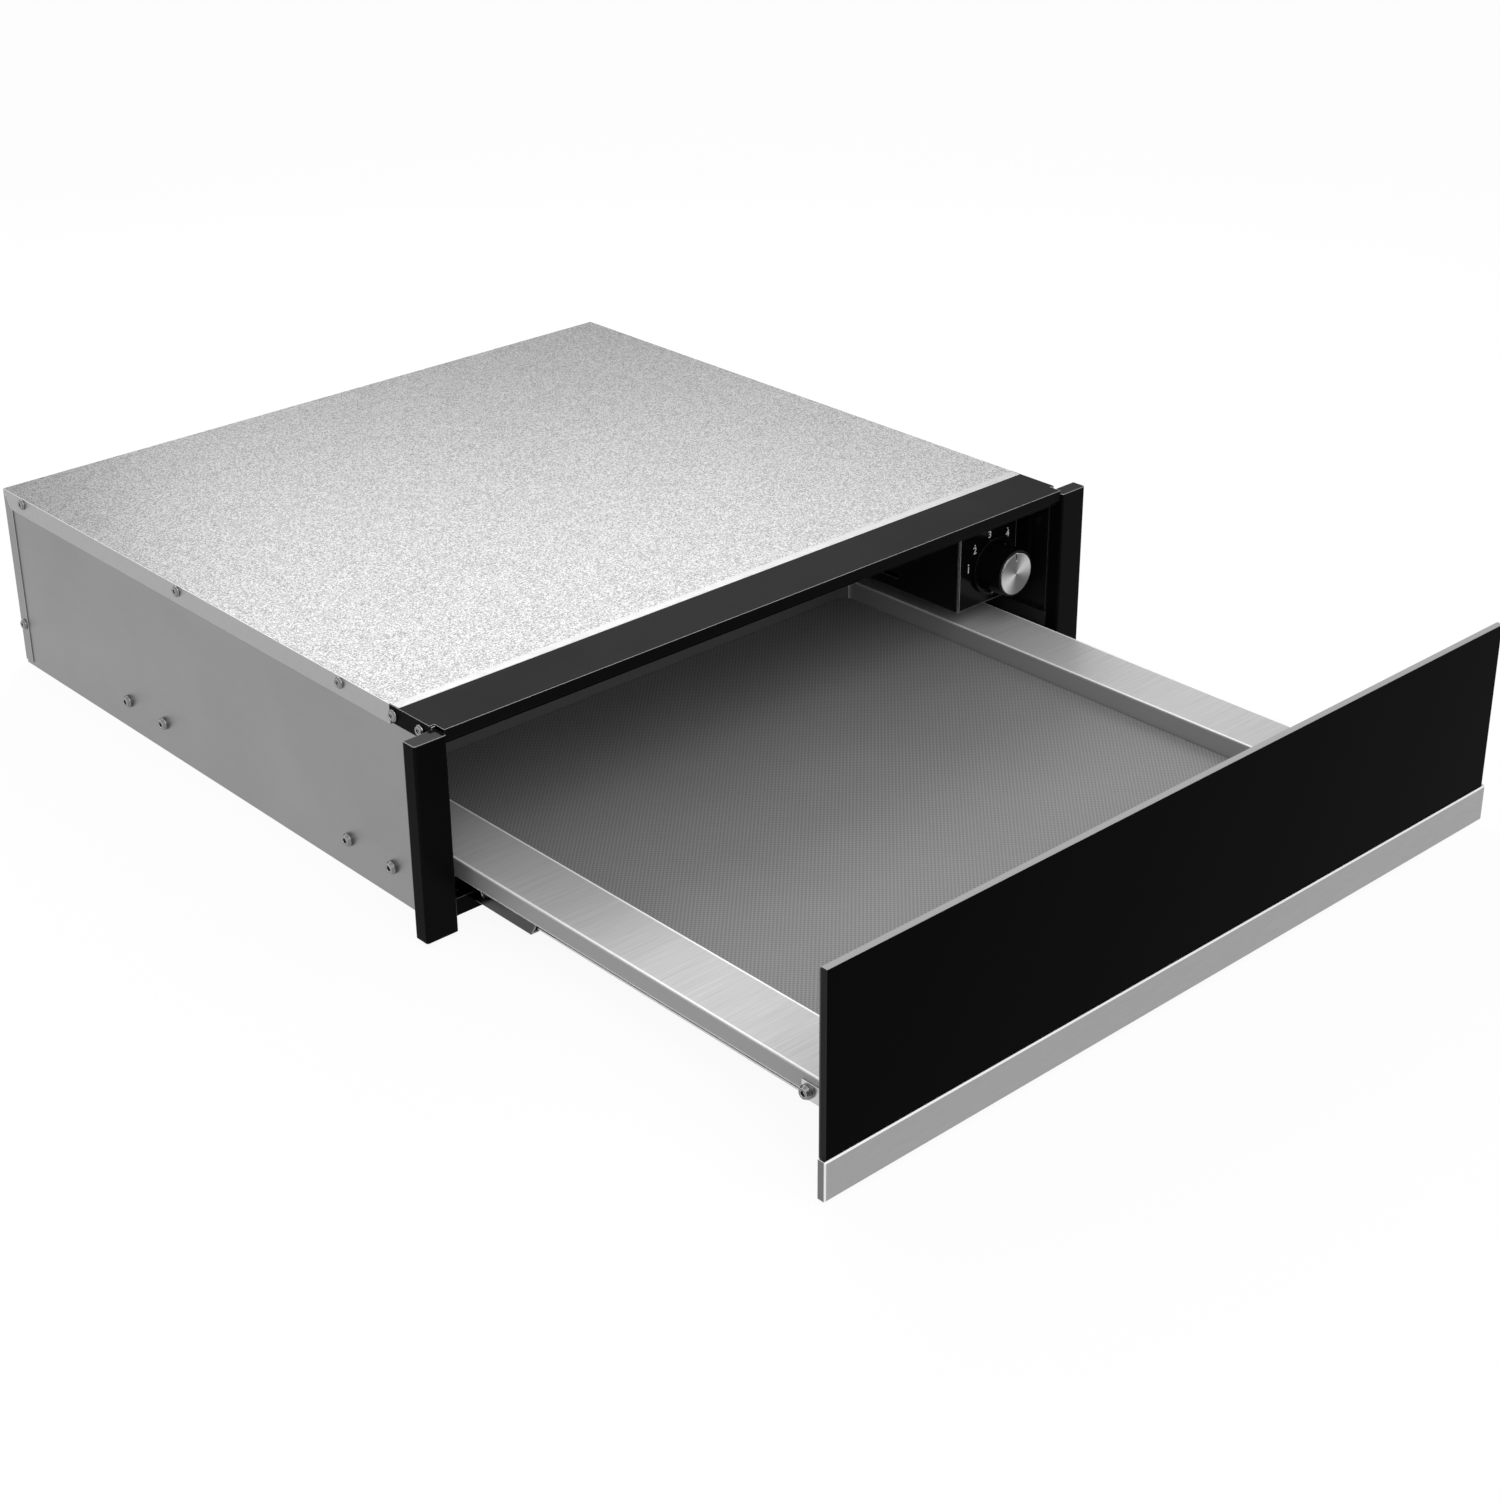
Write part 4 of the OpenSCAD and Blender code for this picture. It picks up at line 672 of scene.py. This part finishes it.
def finish_of(node):
    if node == "control_fascia":
        return FASCIA_PLATE
    if node.endswith(("cabinet_member", "middle_member")):
        return SHADE_PAINTED_ZINC
    return SCREW_STEEL if node.endswith("_screws") else FINISHES[SLOT_OF[node]]


for node, piece in frame["nodes"].items():
    for socket in piece.material_slots:
        socket.material = finish_of(node)
print("dressed:", len(frame["nodes"]), "pieces in", len(FINISHES), "finishes")

# %% [markdown]
# ## The printed dial
#
# Round the knob the fascia carries small white prints: a number for each heat and a dot beside
# it, with one more dot for off under the knob. Ink is a film, so each figure is real geometry
# only a few hundredths of a millimetre thick. Text objects give the numbers, and each is turned
# into a mesh that the knob's axis places: a figure's angle is counted from +X, seen from the
# front.

# %% Sizes of the dial, with its centre and the faces it sits on taken from the model
INK_THICK = 0.04 * MM
NUMBER_HEIGHT = 5.2 * MM
NUMBER_BOLD = 0.05 * MM
FIGURE_SHARE = 0.7  # of a text object's size, taken up by a figure's height
NUMBER_RING = 26.0 * MM
DOT_RADIUS = 0.55 * MM
DOT_LIFT = 4.2 * MM
OFF_DOT_RING = 20.4 * MM
HEAT_ANGLES = (171, 138, 99, 55)
OFF_ANGLE = -98

fascia_low, bezel_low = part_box("control_fascia")[0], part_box("knob_bezel")[0]
cap_low, cap_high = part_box("knob_cap")
dial_x = (cap_low.x + cap_high.x) / 2
dial_z = (cap_low.z + cap_high.z) / 2
print("dial centre:", round(dial_x, 4), round(dial_z, 4))


# %% White ink
INK_THIN, INK_WHITE = 0.7, 0.9


def white_ink(name):
    finish, tree, shader = new_finish(name, grey(INK_WHITE), 0.0, 0.55)
    cloud = place_group(tree, CLOUDS, Scale=900.0)
    color = blend_colors(tree, cloud.outputs["Cloud"], grey(INK_THIN), grey(INK_WHITE))
    tree.links.new(color, shader.inputs["Base Color"])
    return finish


INK = white_ink("white ink")


# %% Print a number and a dot
def add_piece(name, mesh, material, body):
    piece = bpy.data.objects.new(name, mesh)
    bpy.context.scene.collection.objects.link(piece)
    mesh.materials.append(material)
    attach(piece, body)
    return piece


def number_mesh(figure):
    curve = bpy.data.curves.new("figure", "FONT")
    curve.body = str(figure)
    curve.size = NUMBER_HEIGHT / FIGURE_SHARE
    curve.align_x, curve.align_y = "CENTER", "CENTER"
    curve.offset = NUMBER_BOLD
    curve.extrude = INK_THICK / 2
    holder = bpy.data.objects.new("figure", curve)
    mesh = bpy.data.meshes.new_from_object(holder)
    bpy.data.objects.remove(holder)
    return mesh


def dot_mesh(radius, sides=24):
    turns = [math.tau * i / sides for i in range(sides)]
    ring = [(radius * math.cos(turn), radius * math.sin(turn)) for turn in turns]
    points = [(x, y, z) for z in (-INK_THICK / 2, INK_THICK / 2) for x, y in ring]
    walls = [(i, (i + 1) % sides, (i + 1) % sides + sides, i + sides) for i in range(sides)]
    mesh = bpy.data.meshes.new("dot")
    caps = [tuple(reversed(range(sides))), tuple(range(sides, 2 * sides))]
    mesh.from_pydata(points, [], [*caps, *walls])
    return mesh


def stand_on(mesh, x, front_y, z):
    mesh.transform(Matrix.Rotation(math.radians(90), 4, "X"))
    mesh.transform(Matrix.Translation((x, front_y - INK_THICK / 2, z)))
    return mesh


def on_ring(radius, angle):
    turn = math.radians(angle)
    return dial_x + radius * math.cos(turn), dial_z + radius * math.sin(turn)


for heat, angle in enumerate(HEAT_ANGLES, start=1):
    x, z = on_ring(NUMBER_RING, angle)
    number = stand_on(number_mesh(heat), x, fascia_low.y, z - DOT_LIFT / 4)
    add_piece(f"dial_number_{heat}", number, INK, "case")
    dot = stand_on(dot_mesh(DOT_RADIUS), x, fascia_low.y, z + DOT_LIFT * 3 / 4)
    add_piece(f"dial_dot_{heat}", dot, INK, "case")
off_x, off_z = on_ring(OFF_DOT_RING, OFF_ANGLE)
off_dot = stand_on(dot_mesh(DOT_RADIUS), off_x, bezel_low.y, off_z)
add_piece("dial_off_dot", off_dot, INK, "case")

# %% [markdown]
# ## Floor and light
#
# Catalogue pictures are shot on a white sweep. The floor is pale and matt. To the camera and in
# reflections it glows, which lifts it to white but keeps the soft shadow. Two lamps stand
# behind on the right: a large soft one, and a lower one whose reflection brightens the cover
# towards the front. Two more stand in front, one high and strong, one low and weak for the
# front faces.

# %% Lay the floor
FLOOR_SIDE = 12.0
FLOOR_GLOW = 0.93
PAPER_TONE = 0.86


def seen_directly(tree):
    path = tree.nodes.new("ShaderNodeLightPath")
    seen = math_node(tree, "MAXIMUM", path.outputs["Is Camera Ray"], path.outputs["Is Glossy Ray"])
    return math_node(tree, "MAXIMUM", seen, path.outputs["Is Transmission Ray"])


def lay_floor():
    half = FLOOR_SIDE / 2
    mesh = bpy.data.meshes.new("floor")
    corners = [(-half, -half, 0), (half, -half, 0), (half, half, 0), (-half, half, 0)]
    mesh.from_pydata(corners, [], [(0, 1, 2, 3)])
    floor = bpy.data.objects.new("floor", mesh)
    bpy.context.scene.collection.objects.link(floor)
    paper = bpy.data.materials.new("paper sweep")
    paper.use_nodes = True
    tree = paper.node_tree
    matt = tree.nodes["Principled BSDF"]
    matt.inputs["Base Color"].default_value = (*grey(PAPER_TONE), 1)
    matt.inputs["Roughness"].default_value = 0.9
    glow = tree.nodes.new("ShaderNodeEmission")
    glow.inputs["Color"].default_value = (*grey(1.0), 1)
    mix = tree.nodes.new("ShaderNodeMixShader")
    tree.links.new(math_node(tree, "MULTIPLY", seen_directly(tree), FLOOR_GLOW), mix.inputs[0])
    tree.links.new(matt.outputs[0], mix.inputs[1])
    tree.links.new(glow.outputs[0], mix.inputs[2])
    tree.links.new(mix.outputs[0], tree.nodes["Material Output"].inputs["Surface"])
    mesh.materials.append(paper)
    return floor


lay_floor()

# %% Fill the room and hang the lamps
ROOM_LIGHT = 0.75
LAMPS = (
    ("back softbox", (0.25, 1.0, 1.25), (0, -0.3, 0.1), (1.9, 0.9), 6),
    ("cover glow", (0.61, 0.66, 0.79), (-0.15, -0.25, 0.14), (1.1, 0.4), 6.5),
    ("low fill", (-0.3, -2.2, 0.9), (0, -0.1, 0.06), (2.2, 1.0), 4),
    ("overhead", (-0.6, -1.7, 1.9), (0, -0.2, 0.1), (1.6, 1.6), 17),
)


def fill_room():
    world = bpy.data.worlds.new("studio")
    bpy.context.scene.world = world
    world.use_nodes = True
    tree = world.node_tree
    backdrop = tree.nodes["Background"]
    strength = spread_values(tree, seen_directly(tree), ROOM_LIGHT, 1.0)
    backdrop.inputs["Color"].default_value = (*grey(1.0), 1)
    tree.links.new(strength, backdrop.inputs["Strength"])


def hang_lamp(name, place, aim, size, watts):
    lamp = bpy.data.lights.new(name, "AREA")
    lamp.shape = "RECTANGLE"
    lamp.size, lamp.size_y = size
    lamp.energy = watts
    hung = bpy.data.objects.new(name, lamp)
    bpy.context.scene.collection.objects.link(hung)
    hung.location = place
    hung.rotation_mode = "QUATERNION"
    hung.visible_camera = False
    hung.rotation_quaternion = (Vector(aim) - Vector(place)).to_track_quat("-Z", "Y")


fill_room()
for name, place, aim, size, watts in LAMPS:
    hang_lamp(name, place, aim, size, watts)
bpy.context.scene.view_settings.view_transform = "Standard"
print("lamps:", [light.name for light in bpy.data.lights])
